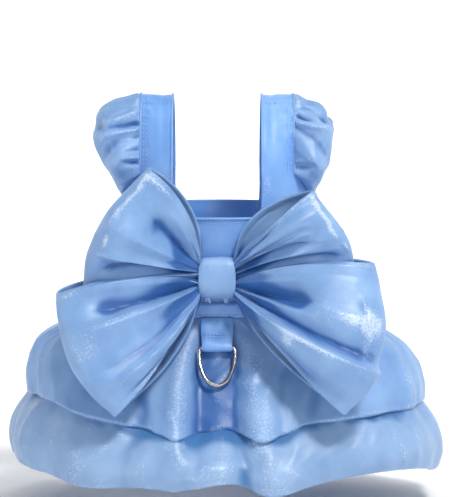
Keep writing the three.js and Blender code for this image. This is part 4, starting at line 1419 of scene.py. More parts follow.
@dataclass
class Skirt:
    """The two gathered tiers. Folds and hems have the places that they have in the solids."""

    body: Body
    finishes: Finishes
    columns: int = 480
    wall: float = 0.55
    seam_gap: float = 0.3
    seam_outside: float = 1.5
    layer_gap: float = 2.4
    upper_length: float = 65
    upper_half_width: float = 129
    upper_front_reach: float = 98
    upper_far_reach: float = 92
    upper_fold_depth: float = 9
    flounce_length: float = 34
    lower_half_width: float = 142
    lower_front_reach: float = 113
    lower_far_reach: float = 105
    lower_fold_depth: float = 8
    far_ridges: int = 14
    far_ridge_share: float = 0.35
    hem_radius: float = 1.7
    upper_turn_back: float = 7
    lower_turn_back: float = 6
    gather_depth: float = 1.1
    far_gather_depth: float = 0.5
    pleat_depth: float = 1.7
    wrinkle_depth: float = 0.6
    crumple_depth: float = 0.2
    facet_depth: float = 0.16
    cone_depth: float = 4.5
    # Fold depths at which the painted shade in the folds is darkest; it is fainter over the far half.
    deep_at: float = 2.2
    far_deep_at: float = 2.3
    upper_meridian: Table = rows_of(
        "drop side front",
        (0, 0, 0), (0.04, 0.3, 0.01), (0.15, 0.58, 0.1), (0.32, 0.82, 0.27), (0.55, 0.95, 0.5),
        (0.78, 1, 0.76), (1, 1, 1),
    )
    flounce_meridian: Table = rows_of(
        "drop side front",
        (0, 0, 0), (0.22, 0.5, 0.4), (0.5, 0.9, 0.75), (0.78, 1, 0.97), (1, 0.86, 1),
    )
    upper_folds: Table = rows_of(
        "angle spread height",
        (0, 5, -1.6), (-5, 5, -1.7), (5, 5, -1.7), (-11, 6, 0.9), (12, 7, 0.9), (-22, 6, -0.55),
        (-42, 15, 0.4), (28, 9, -0.4), (47, 10, 0.25), (66, 9, 0.4), (-68, 9, -0.3), (90, 55, 0.5),
        (-90, 55, -0.5),
    )
    flounce_folds: Table = rows_of(
        "angle spread height",
        (-50, 10, -0.3), (-36, 9, 0.5), (-24, 7, -0.5), (-4, 13, 0.5), (7, 6, -0.7), (16, 8, 0.6),
        (33, 10, -0.4), (55, 14, 0.5), (76, 9, -0.3), (96, 50, 0.7), (-90, 50, -0.9),
    )
    upper_hem: Table = rows_of(
        "angle drop",
        (-90, 0.77), (-50, 0.78), (-36, 0.86), (-20, 0.95), (-10, 1.02), (3, 0.97), (12, 1.04),
        (26, 0.91), (45, 0.88), (90, 0.87), (135, 0.86), (180, 0.86), (225, 0.82),
    )
    flounce_hem: Table = rows_of(
        "angle drop",
        (-90, 1.3), (-48, 1.22), (-34, 1.14), (-12, 0.86), (7, 0.82), (14, 0.9), (27, 1.02),
        (45, 0.96), (60, 1.02), (80, 1.26), (110, 1.2), (180, 1.1), (225, 1.2),
    )

    def away(self, angle: Grid) -> Grid:
        """Gives 0 over the shown side and 1 over the far half."""
        return smoothstep(0.3, -0.2, np.cos(np.radians(angle)))

    def far(self, angle: Grid) -> Grid:
        """Gives the even ridges of the far half."""
        turned = np.radians(angle)
        size = self.far_ridge_share * np.sqrt(np.maximum(-np.cos(turned), 0))
        return size * np.cos(turned * self.far_ridges)

    def upper_surface(self, angle: Grid, share: Grid) -> Grid:
        """Gives the upper tier's main form.

        Args:
            angle: Degrees from the middle of the shown side.
            share: Share of the way from the seam to the hem.

        Returns:
            The points.
        """
        turned = np.radians(angle)
        side, front = (
            table_curve(self.upper_meridian, "drop", key, share) for key in ("side", "front")
        )
        fold = self.upper_fold_depth * share * (fold_height(self.upper_folds, angle) + self.far(angle))
        reach = np.where(np.cos(turned) > 0, self.upper_front_reach, self.upper_far_reach)
        outside = self.seam_outside
        half_width = blend(self.body.waist_half_width + outside, self.upper_half_width, side) + fold
        half_depth = blend(self.body.waist_half_depth + outside, reach, front) + fold
        drop = self.body.waist_drop + self.seam_gap
        drop = drop + share * self.upper_length * hem_drop(self.upper_hem, angle)
        return np.stack([half_width * np.sin(turned), -half_depth * np.cos(turned), -drop], -1)

    def crumpled(self, grid: Grid, angle: Grid, share: Grid, seed: int) -> Grid:
        """Adds gathers at the seam and the wrinkles of thin cloth.

        Args:
            grid: The tier's main form.
            angle: The angle of each point.
            share: Its share of the way down.
            seed: Seed of the wrinkles.

        Returns:
            The wrinkled grid.
        """
        around = angle / 360
        lean = around + 0.012 * SoftNoise(seed + 5, 12, 3).at(around, share)
        gathers = SoftNoise(seed, 76, 2).crease(around, share)
        pleats = SoftNoise(seed + 1, 34, 1).at(lean, share)
        wrinkles = SoftNoise(seed + 2, 66, 2).crease(lean, share)
        crumple = SoftNoise(seed + 3, 120, 7).at(lean, share)
        facets = SoftNoise(seed + 4, 70, 6).crease(lean + share * 0.02, share)
        cones = SoftNoise(seed + 6, 48, 1).at(lean, share)
        away = self.away(angle)
        gather_depth = self.gather_depth + self.far_gather_depth * away
        height = gathers * gather_depth * np.exp(-share * (6 - 3 * away))
        height += pleats * self.pleat_depth * smoothstep(0.02, 0.5, share)
        free = smoothstep(0, 0.3, share) * (1 - 0.7 * smoothstep(0.8, 1, share))
        height += wrinkles * self.wrinkle_depth * free
        height += crumple * self.crumple_depth
        height += facets * self.facet_depth * smoothstep(0.1, 0.4, share)
        height += cones * away * self.cone_depth * smoothstep(0.05, 0.7, share)
        return raised(grid, height * smoothstep(0, 0.05, share), True)

    def upper_grid(self) -> Grid:
        """Makes the upper tier's outer surface, with its hem rolled in."""
        angles = np.linspace(0, 360, self.columns, endpoint=False)
        angle, share = np.meshgrid(angles, np.linspace(0, 1, 72) ** 1.1)
        grid = self.upper_surface(angle, share)
        grid = self.crumpled(grid, angle, share, 101)
        return rolled_edge(grid, self.hem_radius, self.upper_turn_back, True)

    def lower_grid(self) -> Grid:
        """Makes the lower tier: behind the upper one, and then out below it as a flounce."""
        angles = np.linspace(0, 360, self.columns, endpoint=False)
        shares = np.array([0.04, 0.1, 0.18, 0.28, 0.4, 0.52, 0.64, 0.76, 0.88, 1])
        angle, share = np.meshgrid(angles, shares)
        over = self.upper_surface(angle, share)
        hidden = over - normals_of(over, True) * (self.layer_gap + 0.6)
        start = hidden[-1]
        seam = [
            self.body.point(angles, np.full_like(angles, self.body.waist_drop), -0.2)
            - np.array([0, 0, self.seam_gap + below])
            for below in (0, self.layer_gap)
        ]
        angle, share = np.meshgrid(angles, np.linspace(0, 1, 46)[1:])
        turned = np.radians(angle)
        side, front = (
            table_curve(self.flounce_meridian, "drop", key, share) for key in ("side", "front")
        )
        reach = np.where(np.cos(turned) > 0, self.lower_front_reach, self.lower_far_reach)
        fold = self.lower_fold_depth * (fold_height(self.flounce_folds, angle) + self.far(angle))
        drop = self.flounce_length * hem_drop(self.flounce_hem, angle)
        toward = blend(front, side, np.abs(np.sin(turned)))
        flounce = np.stack([
            blend(start[:, 0], (self.lower_half_width + fold) * np.sin(turned), side),
            blend(start[:, 1], -(reach + fold) * np.cos(turned), toward),
            start[:, 2] - self.seam_gap - share * drop,
        ], -1)
        flounce = self.crumpled(flounce, angle, 0.15 + 0.85 * share, 131)
        grid = np.concatenate([np.array(seam), hidden[:-1], flounce])
        return rolled_edge(grid, self.hem_radius * 0.9, self.lower_turn_back, True)

    def build(self) -> None:
        """Makes and dresses both tiers."""
        organza = self.finishes.organza
        around = np.linspace(0, 360, self.columns, endpoint=False)
        # Painted shade in the folds: fainter over the far half, and fainter still on the lower tier.
        deep_at = self.deep_at + self.far_deep_at * self.away(around)
        upper = cloth_object(
            "skirt_upper_cloth", self.upper_grid(), True, self.wall, organza, 8, deep_at=deep_at
        )
        sheer = self.finishes.sheer_organza
        lower = cloth_object(
            "skirt_lower_cloth", self.lower_grid(), True, self.wall, sheer, 8, deep_at=deep_at + 1
        )
        for tier, node, flat in (
            (upper, "skirt_upper", (0.8, 0.075)), (lower, "skirt_lower", (0.84, 0.11)),
        ):
            dress(tier, Slot.ORGANZA, node, flat=flat, held=Held.GATHERED, rests_on=["waistband"])


@dataclass(frozen=True)
class Loop:
    """One loop of a bow strip: its rows from the top edge to the bottom one, and the folds of its front.

    In a row, reach is a share of the bow's half-span, rise a share of its half-height, the bends are
    shares of the half-span, and lift a share of its depth. A fold runs from a share of the strip's width
    at the knot to one at the tip, and keeps its height from one share of the reach to another. Its slope
    toward the bottom edge may be longer than the one above. A crush is a short sharp crest across the
    strip. A shimmer is a patch of painted highlight, pale glint specks mixed into the colour.
    """

    side: int
    rows: Table
    folds: Table
    crushes: Table = ()
    shimmer: Table = ()

    def at(self, key: str, share: Grid) -> Grid:
        """Reads a column of the rows at shares of the strip's width."""
        return curve_at(np.linspace(0, 1, len(self.rows)), column(self.rows, key), share)

    def relief(self, share: Grid, reach: Grid) -> Grid:
        """Adds up the folds, in millimetres.

        Args:
            share: Share of the strip's width, from its top edge.
            reach: Share of the way from the knot to the tip.

        Returns:
            The height at each place.
        """
        height = np.zeros_like(share)
        for fold in self.folds:
            bowed = fold.get("bow", 0) * 4 * reach * (1 - reach)
            middle = blend(fold["knot"], fold["tip"], reach) + bowed
            slope = np.where(share < middle, fold["width"], fold.get("under", fold["width"]))
            away = np.abs(share - middle) / slope
            profile = np.clip(1 - away, 0, 1) ** fold.get("edge", 1.6)
            window = smoothstep(fold["from"] - 0.12, fold["from"] + 0.1, reach)
            window = window * (1 - smoothstep(fold["to"] - 0.1, fold["to"] + 0.12, reach))
            height += fold["height"] * profile * window
        for crush in self.crushes:
            middle = crush["out"] + crush["skew"] * (share - crush["from"])
            middle = middle + 0.009 * np.sin(share * 23) + 0.005 * np.sin(share * 57)
            window = smoothstep(crush["from"] - 0.05, crush["from"] + 0.05, share)
            window = window * (1 - smoothstep(crush["to"] - 0.05, crush["to"] + 0.05, share))
            crest = np.clip(1 - np.abs(reach - middle) / crush["width"], 0, 1) ** 1.3
            height += crush["height"] * crest * window
        return height

    def painted_glint(self, share: Grid, reach: Grid) -> Grid:
        """Tells where the loop gets painted highlight from its shimmer patches, from 0 to 1."""
        total = np.zeros_like(share)
        for patch in self.shimmer:
            middle = patch["share"] + patch["tilt"] * (reach - patch["out"])
            along = (reach - patch["out"]) / patch["along"]
            across = (share - middle) / patch["across"]
            total += patch["strength"] * np.exp(-(along ** 2) - across ** 2)
        return total


UPPER_LEFT = Loop(
    side=-1,
    rows=rows_of(
        "reach rise frontBend backBend lift",
        (0.42, 0.87, 0.08, 0.1, 0.62), (0.53, 0.72, 0.05, 0.08, 0.85),
        (0.66, 0.54, 0.03, 0.05, 0.95), (0.74, 0.36, 0.01, 0.02, 1), (0.79, 0.16, 0.02, 0.02, 0.85),
        (0.81, -0.07, 0.04, 0.04, 0.6),
    ),
    folds=rows_of(
        "knot tip width under height from to edge",
        (0.05, 0.06, 0.08, 0.14, 3.4, 0.03, 0.95), (0.33, 0.26, 0.14, 0.24, -7.0, 0.1, 0.6, 1.2),
        (0.55, 0.5, 0.26, None, 3.6, 0.3, 0.9, 1.4), (0.74, 0.74, 0.14, 0.07, 4.2, 0.06, 0.85),
        (0.86, 0.88, 0.1, None, -7.0, 0.06, 0.8, 1.2), (0.97, 1.0, 0.07, None, 2.4, 0.05, 0.7),
    ),
    crushes=rows_of(
        "out skew from to height width",
        (0.95, -0.12, 0.03, 0.5, 1.2, 0.04), (0.86, 0.05, 0.56, 0.66, 1.4, 0.03),
    ),
    # Patches of painted highlight on the loop's front.
    shimmer=rows_of(
        "share out across along tilt strength",
        (0.04, 0.85, 0.05, 0.16, 0.0, 0.6), (0.15, 0.93, 0.14, 0.03, 0.0, 0.7),
        (0.38, 0.91, 0.14, 0.025, 0.0, 0.6), (0.61, 0.87, 0.05, 0.025, 0.0, 0.8),
        (0.72, 0.9, 0.04, 0.08, 0.0, 0.35),
    ),
)
UPPER_RIGHT = Loop(
    side=1,
    rows=rows_of(
        "reach rise frontBend backBend lift",
        (0.58, 0.69, -0.015, 0.13, 0.7), (0.65, 0.56, 0.015, 0.1, 0.95),
        (0.72, 0.44, 0.04, 0.08, 0.9), (0.78, 0.34, 0.05, 0.06, 0.9), (0.82, 0.25, 0.05, 0.05, 0.8),
        (0.84, 0.1, 0.04, 0.04, 0.6),
    ),
    folds=rows_of(
        "knot tip width height from to under edge",
        (0.03, 0.03, 0.06, 2.2, 0.04, 1.1), (0.25, 0.2, 0.22, 2.6, 0.12, 0.75),
        (0.47, 0.43, 0.13, 4.2, 0.05, 0.68, 0.07), (0.64, 0.62, 0.14, -4.5, 0.06, 0.65, None, 1.3),
        (0.8, 0.78, 0.09, 2.0, 0.06, 0.6), (0.93, 0.9, 0.1, -5.0, 0.05, 0.85, None, 1.3),
    ),
    crushes=rows_of(
        "out skew from to height width",
        (0.96, -0.1, 0.02, 0.58, 1.2, 0.04), (0.95, 0.0, 0.68, 0.82, 1.5, 0.03),
    ),
    # Patches of painted highlight on the loop's front.
    shimmer=rows_of(
        "share out across along tilt strength",
        (0.1, 0.94, 0.1, 0.03, 0.0, 0.8), (0.3, 0.93, 0.14, 0.025, 0.0, 0.8),
        (0.5, 0.91, 0.1, 0.025, 0.0, 0.8), (0.76, 0.95, 0.07, 0.025, 0.0, 0.7),
        (0.02, 0.7, 0.025, 0.3, 0.0, 0.5),
    ),
)
LOWER_LEFT = Loop(
    side=-1,
    rows=rows_of(
        "reach rise frontBend backBend lift",
        (0.98, -0.11, 0.075, 0.06, 0.6), (0.97, -0.26, 0.04, 0.03, 0.8),
        (0.93, -0.46, 0.02, 0.01, 1), (0.86, -0.66, 0, -0.01, 0.95),
        (0.76, -0.82, -0.03, -0.05, 0.95), (0.68, -0.93, -0.05, -0.08, 0.8),
        (0.62, -1.01, -0.02, -0.1, 0.65),
    ),
    folds=rows_of(
        "knot tip width under height from to edge",
        (0.05, 0.05, 0.07, 0.12, 3.6, 0.04, 0.9), (0.26, 0.17, 0.12, None, -7.0, 0.08, 0.68, 1.2),
        (0.42, 0.32, 0.09, 0.18, 4.6, 0.12, 0.85), (0.7, 0.56, 0.16, None, -2.6, 0.2, 0.9),
        (0.78, 0.7, 0.06, 0.22, 4.6, 0.06, 0.8), (0.96, 0.93, 0.08, None, -3.4, 0.05, 0.7, 1.3),
    ),
    crushes=rows_of(
        "out skew from to height width",
        (0.93, -0.06, 0.28, 0.5, 1.2, 0.05),
    ),
    # Patches of painted highlight on the loop's front.
    shimmer=rows_of(
        "share out across along tilt strength",
        (0.44, 0.86, 0.06, 0.1, 0.0, 0.45), (0.04, 0.9, 0.04, 0.1, 0.0, 0.5),
        (0.34, 0.6, 0.025, 0.2, -0.1, 0.35), (0.99, 0.7, 0.02, 0.3, 0.0, 0.4),
    ),
)
LOWER_RIGHT = Loop(
    side=1,
    rows=rows_of(
        "reach rise frontBend backBend lift",
        (0.95, 0.12, 0.07, 0.06, 0.6), (0.98, -0.04, 0.05, 0.05, 0.85), (1, -0.26, 0.01, 0.01, 0.9),
        (0.99, -0.5, 0.01, 0, 1), (0.93, -0.7, 0, -0.02, 0.95), (0.85, -0.87, -0.02, -0.05, 0.85),
        (0.77, -0.99, -0.01, -0.08, 0.65),
    ),
    folds=rows_of(
        "knot tip width under height from to edge",
        (0.06, 0.05, 0.08, 0.2, 4.0, 0.04, 0.9), (0.36, 0.3, 0.14, None, -7.5, 0.06, 0.5, 1.2),
        (0.38, 0.38, 0.2, None, 3.4, 0.5, 1.0, 1.3), (0.66, 0.55, 0.16, 0.08, -5.5, 0.06, 1.0, 1.2),
        (0.78, 0.635, 0.045, 0.3, 6.5, 0.05, 1.2, 1.3),
        (0.98, 0.95, 0.1, None, -2.6, 0.05, 0.7, 1.3),
    ),
    crushes=rows_of(
        "out skew from to height width",
        (0.86, 0.1, 0.26, 0.6, 1.6, 0.05), (0.48, -0.2, 0.7, 0.84, 1.2, 0.07),
    ),
    # Patches of painted highlight on the loop's front.
    shimmer=rows_of(
        "share out across along tilt strength",
        (0.39, 0.9, 0.09, 0.06, 0.0, 1.0), (0.4, 0.78, 0.05, 0.12, 0.0, 0.8),
        (0.57, 0.94, 0.05, 0.03, 0.0, 0.5), (0.7, 0.55, 0.025, 0.22, -0.15, 1.0),
        (0.79, 0.44, 0.07, 0.05, 0.0, 0.8), (0.02, 0.88, 0.03, 0.14, 0.0, 0.7),
    ),
)


@dataclass
class Bow:
    """The bow: two strips, each a closed ring with a loop on each side, and the knot round them."""

    body: Body
    skirt: Skirt
    finishes: Finishes
    half_span: float = 103
    half_height: float = 80
    depth: float = 50
    dress_gap: float = 2
    knot_corner: float = 3
    knot_wall: float = 1.2
    knot_slack: float = 1.3
    knot_thickness: float = 0.8
    knot_roundness: float = 0.6  # 1 is an ellipse, and less is a rounder box
    knot_dome: float = 1.8
    seam_gap: float = 0.3
    gap_at_knot: float = 2.4
    wall: float = 0.6
    pleat_depth: float = 3.0
    edge_radius: float = 1.2
    turn_back: float = 2.5
    crumple_depth: float = 0.16
    wave_depth: float = 1.2
    knot_edge_radius: float = 1.1
    knot_turn_back: float = 3
    # Strength of the painted highlight on the upper part of the knot's front.
    knot_shine: float = 0.3
    loop_columns: int = 108
    knot_low: np.ndarray = field(init=False)
    knot_high: np.ndarray = field(init=False)

    def __post_init__(self) -> None:
        """Takes the knot's place from the frame."""
        self.knot_low, self.knot_high = node_box("bow_knot")
        self.knot_drop = -(self.knot_low[2] + self.knot_high[2]) / 2
        self.knot_width = self.knot_high[0] - self.knot_low[0]
        self.strip_back = -self.knot_high[1] + self.knot_wall + self.seam_gap
        self.strip_front = -self.knot_low[1] - self.knot_wall - self.seam_gap - self.knot_slack
        knot_height = self.knot_high[2] - self.knot_low[2]
        self.strip_height = (knot_height - self.gap_at_knot) / 2 - self.knot_corner

    def outline(self, loop: Loop, share: Grid, top: float, way: Grid) -> tuple[Grid, Grid, Grid]:
        """Gives where a loop lies as it is seen from the shown side.

        Args:
            loop: The loop.
            share: Share of the strip's width, from its top edge.
            top: Height of the strip's top edge at the knot.
            way: 0 at the knot's back, a half at the tip, 1 at the knot's front.

        Returns:
            The distance from the middle plane, the height, and the share of the reach.
        """
        out = np.sin(np.pi * way) ** 0.85
        start_x, start_z = self.knot_width / 2, top - share * self.strip_height
        tip_x = loop.at("reach", share) * self.half_span
        tip_z = loop.at("rise", share) * self.half_height - self.knot_drop
        across_x, across_z = tip_x - start_x, tip_z - start_z
        length = np.hypot(across_x, across_z)
        bend = blend(loop.at("backBend", share), loop.at("frontBend", share), way)
        bend = bend * self.half_span * 4 * out * (1 - out)
        x = blend(start_x, tip_x, out) - across_z / length * bend
        z = blend(start_z, tip_z, out) + across_x / length * bend
        return x, z, out

    def skirt_front(self, x: Grid, drop: Grid) -> Grid:
        """Gives how far in front of the middle the upper tier lies."""
        angle = np.zeros_like(x)
        share = np.zeros_like(x)
        for _ in range(8):
            length = self.skirt.upper_length * hem_drop(self.skirt.upper_hem, angle)
            share = np.clip((drop - self.body.waist_drop) / length, 0, 1)
            half_width = self.skirt.upper_surface(np.full_like(share, 90.0), share)[..., 0]
            angle = np.degrees(np.arcsin(np.clip(x / half_width, -1, 1)))
        return -self.skirt.upper_surface(angle, share)[..., 1]

    def lean(self, loops: Sequence[Loop], top: float) -> float:
        """Gives the steepest lean that any row of the loops needs to lie clear in front of the skirt."""
        share, way = np.meshgrid(np.linspace(0, 1, 12), np.array([0.2, 0.3, 0.4, 0.5]))
        most = 0.0
        for loop in loops:
            x, z, out = self.outline(loop, share, top, way)
            tip_z = loop.at("rise", share) * self.half_height - self.knot_drop
            below = np.maximum(-self.knot_drop - tip_z, 0)
            touching = (-z > self.body.waist_drop) & (below > 0)
            for side in (-1, 1):
                needed = self.skirt_front(side * x, -z) + self.dress_gap - self.strip_back
                lean = np.where(touching, needed / np.maximum(below * out, 1e-6), 0)
                most = max(most, float(lean.max()))
        return most

    def strip(self, left: Loop, right: Loop, top: float, seed: int) -> tuple[Grid, Grid]:
        """Makes one strip's outer surface with its folds.

        Args:
            left: Its left loop.
            right: Its right loop.
            top: Height of its top edge at the knot.
            seed: Seed of its wrinkles.

        Returns:
            The grid, with both edges rolled in, and how much painted highlight each point gets.
        """
        lean = self.lean((left, right), top)
        half = np.linspace(0, 1, self.loop_columns)
        ways = np.concatenate([half, half[::-1]])
        way, share = np.meshgrid(ways, np.linspace(0, 1, 92))
        grid = np.zeros((*way.shape, 3))
        relief = np.zeros_like(way)
        painted_glint = np.zeros_like(way)
        for loop, part in ((left, np.s_[:, : len(half)]), (right, np.s_[:, len(half) :])):
            x, z, out = self.outline(loop, share[part], top, way[part])
            front = 0.5 - 0.5 * np.cos(np.pi * way[part])
            puff = self.depth * loop.at("lift", share[part])
            puff = puff * front ** 1.5 * np.sin(np.pi * way[part]) ** 0.9
            below = np.maximum(-loop.at("rise", share[part]) * self.half_height, 0)
            forward = blend(self.strip_back, self.strip_front, front) + puff + lean * below * out
            grid[part] = np.stack([loop.side * x, -forward, z], -1)
            shown = smoothstep(0.42, 0.62, way[part])
            relief[part] = loop.relief(share[part], out) * shown
            # Painted highlight from the loop's shimmer patches, on its shown front only.
            painted_glint[part] = loop.painted_glint(share[part], out) * shown
            pleats = SoftNoise(seed + loop.side, 3, 7).at(out * 0.15, share[part])
            near = smoothstep(0, 0.1, out) * np.exp(-out * 3.5)
            relief[part] += pleats * self.pleat_depth * near
            crumple = SoftNoise(seed + 13 + loop.side, 9, 9).crease(out * 0.9, share[part])
            soft = SoftNoise(seed + 17 + loop.side, 4, 4).at(out * 0.9, share[part])
            wrinkles = crumple * self.crumple_depth + soft * self.wave_depth
            relief[part] += wrinkles * smoothstep(0.15, 0.5, out)
        grid = rolled_both(raised(grid, relief, True), self.edge_radius, self.turn_back, True)
        return grid, over_rolls(painted_glint, grid)

    def knot(self) -> tuple[Grid, Grid]:
        """Makes the knot's band, a soft pillow that pulls in at its edges, and its painted highlight."""
        middle = (self.knot_low + self.knot_high) / 2
        half = (self.knot_high - self.knot_low) / 2
        fine_turn = np.linspace(0, 2 * np.pi, 2001)
        fine_y = signed_power(np.cos(fine_turn), self.knot_roundness) * half[1]
        fine_z = signed_power(np.sin(fine_turn), self.knot_roundness) * half[2]
        length = np.insert(np.cumsum(np.hypot(np.diff(fine_y), np.diff(fine_z))), 0, 0)
        even = np.interp(np.linspace(0, length[-1], 150, endpoint=False), length, fine_turn)
        turned, across = np.meshgrid(even, np.linspace(-1, 1, 60))
        y = -signed_power(np.cos(turned), self.knot_roundness) * half[1]
        z = signed_power(np.sin(turned), self.knot_roundness) * half[2]
        waist = 1 - 0.1 * np.cos(turned * 2 + np.pi) * (np.cos(turned) > 0)
        x = across * half[0] * waist
        grid = np.stack([x + middle[0], y + middle[1], z + middle[2]], -1)
        crown = 0.8 * (1 - across ** 4) - 0.8
        share = (across + 1) / 2
        folds = SoftNoise(203, 3, 5).at(turned / (2 * np.pi), share) * 0.35
        fine = SoftNoise(204, 4, 12).at(turned / (2 * np.pi), share) * 0.1
        dome = self.knot_dome * (1 - (z / half[2]) ** 2) * (np.cos(turned) > 0)
        grid = raised(grid, crown + folds + fine + dome, True)
        grid = rolled_both(grid, self.knot_edge_radius, self.knot_turn_back, True)
        # Painted highlight: a pale patch on the upper part of the knot's front, a little to the left,
        # mixed in as glint specks.
        shine = np.exp(-((across + 0.2) / 0.6) ** 2 - ((np.sin(turned) - 0.6) / 0.4) ** 2)
        return grid, over_rolls(self.knot_shine * shine * (np.cos(turned) > 0), grid)

    def thread_ends(self) -> list[Grid]:
        """Makes the few ends of pale thread that stick out below the knot."""
        low = self.knot_low[2]
        front = self.knot_low[1] + 2
        draws = np.random.default_rng(207)
        tubes = []
        for x in (-6.5, -5.6, -4.9, 4.2, 5.1, 6.4):
            bend = draws.uniform(-1.6, 1.6, 2)
            t = np.linspace(0, 1, 9)[:, None]
            path = np.array([x, front - 0.6, low + 1.2]) + np.hstack([
                bend[0] * t ** 2, -1.2 * t + bend[1] * 0.3 * t ** 2, -3.4 * t,
            ])
            tubes.append(tube_along(path, 0.2, 6, False))
        return tubes

    def build(self) -> None:
        """Makes and dresses the strips, the knot and its thread ends."""
        organza = self.finishes.organza
        upper_top = -self.knot_drop + self.gap_at_knot / 2 + self.strip_height
        lower_top = -self.knot_drop - self.gap_at_knot / 2
        grid, painted_glint = self.strip(UPPER_LEFT, UPPER_RIGHT, upper_top, 301)
        upper = cloth_object("bow_upper_cloth", grid, True, self.wall, organza, 5, painted_glint)
        grid, painted_glint = self.strip(LOWER_LEFT, LOWER_RIGHT, lower_top, 341)
        lower = cloth_object("bow_lower_cloth", grid, True, self.wall, organza, 5, painted_glint)
        grid, painted_glint = self.knot()
        knot = cloth_object(
            "bow_knot_cloth", grid, True, self.knot_thickness, organza, 4, painted_glint, deep_at=3, crest_glint=0
        )
        ends = []
        for number, tube in enumerate(self.thread_ends()):
            end = tube_object(f"knot_thread_{number}", tube, False, self.finishes.thread)
            dress(end, Slot.ORGANZA)
            ends.append(end)
        for strip, node, flat in (
            (upper, "bow_upper", (0.38, 0.05)), (lower, "bow_lower", (0.48, 0.08)),
        ):
            dress(strip, Slot.ORGANZA, node, flat=flat, held=Held.GATHERED, rests_on=["bow_knot"])
        dress(
            knot, Slot.ORGANZA, "bow_knot", flat=(0.075, 0.03), held=Held.FOLDED, rests_on=["bodice"],
            with_pieces=ends,
        )


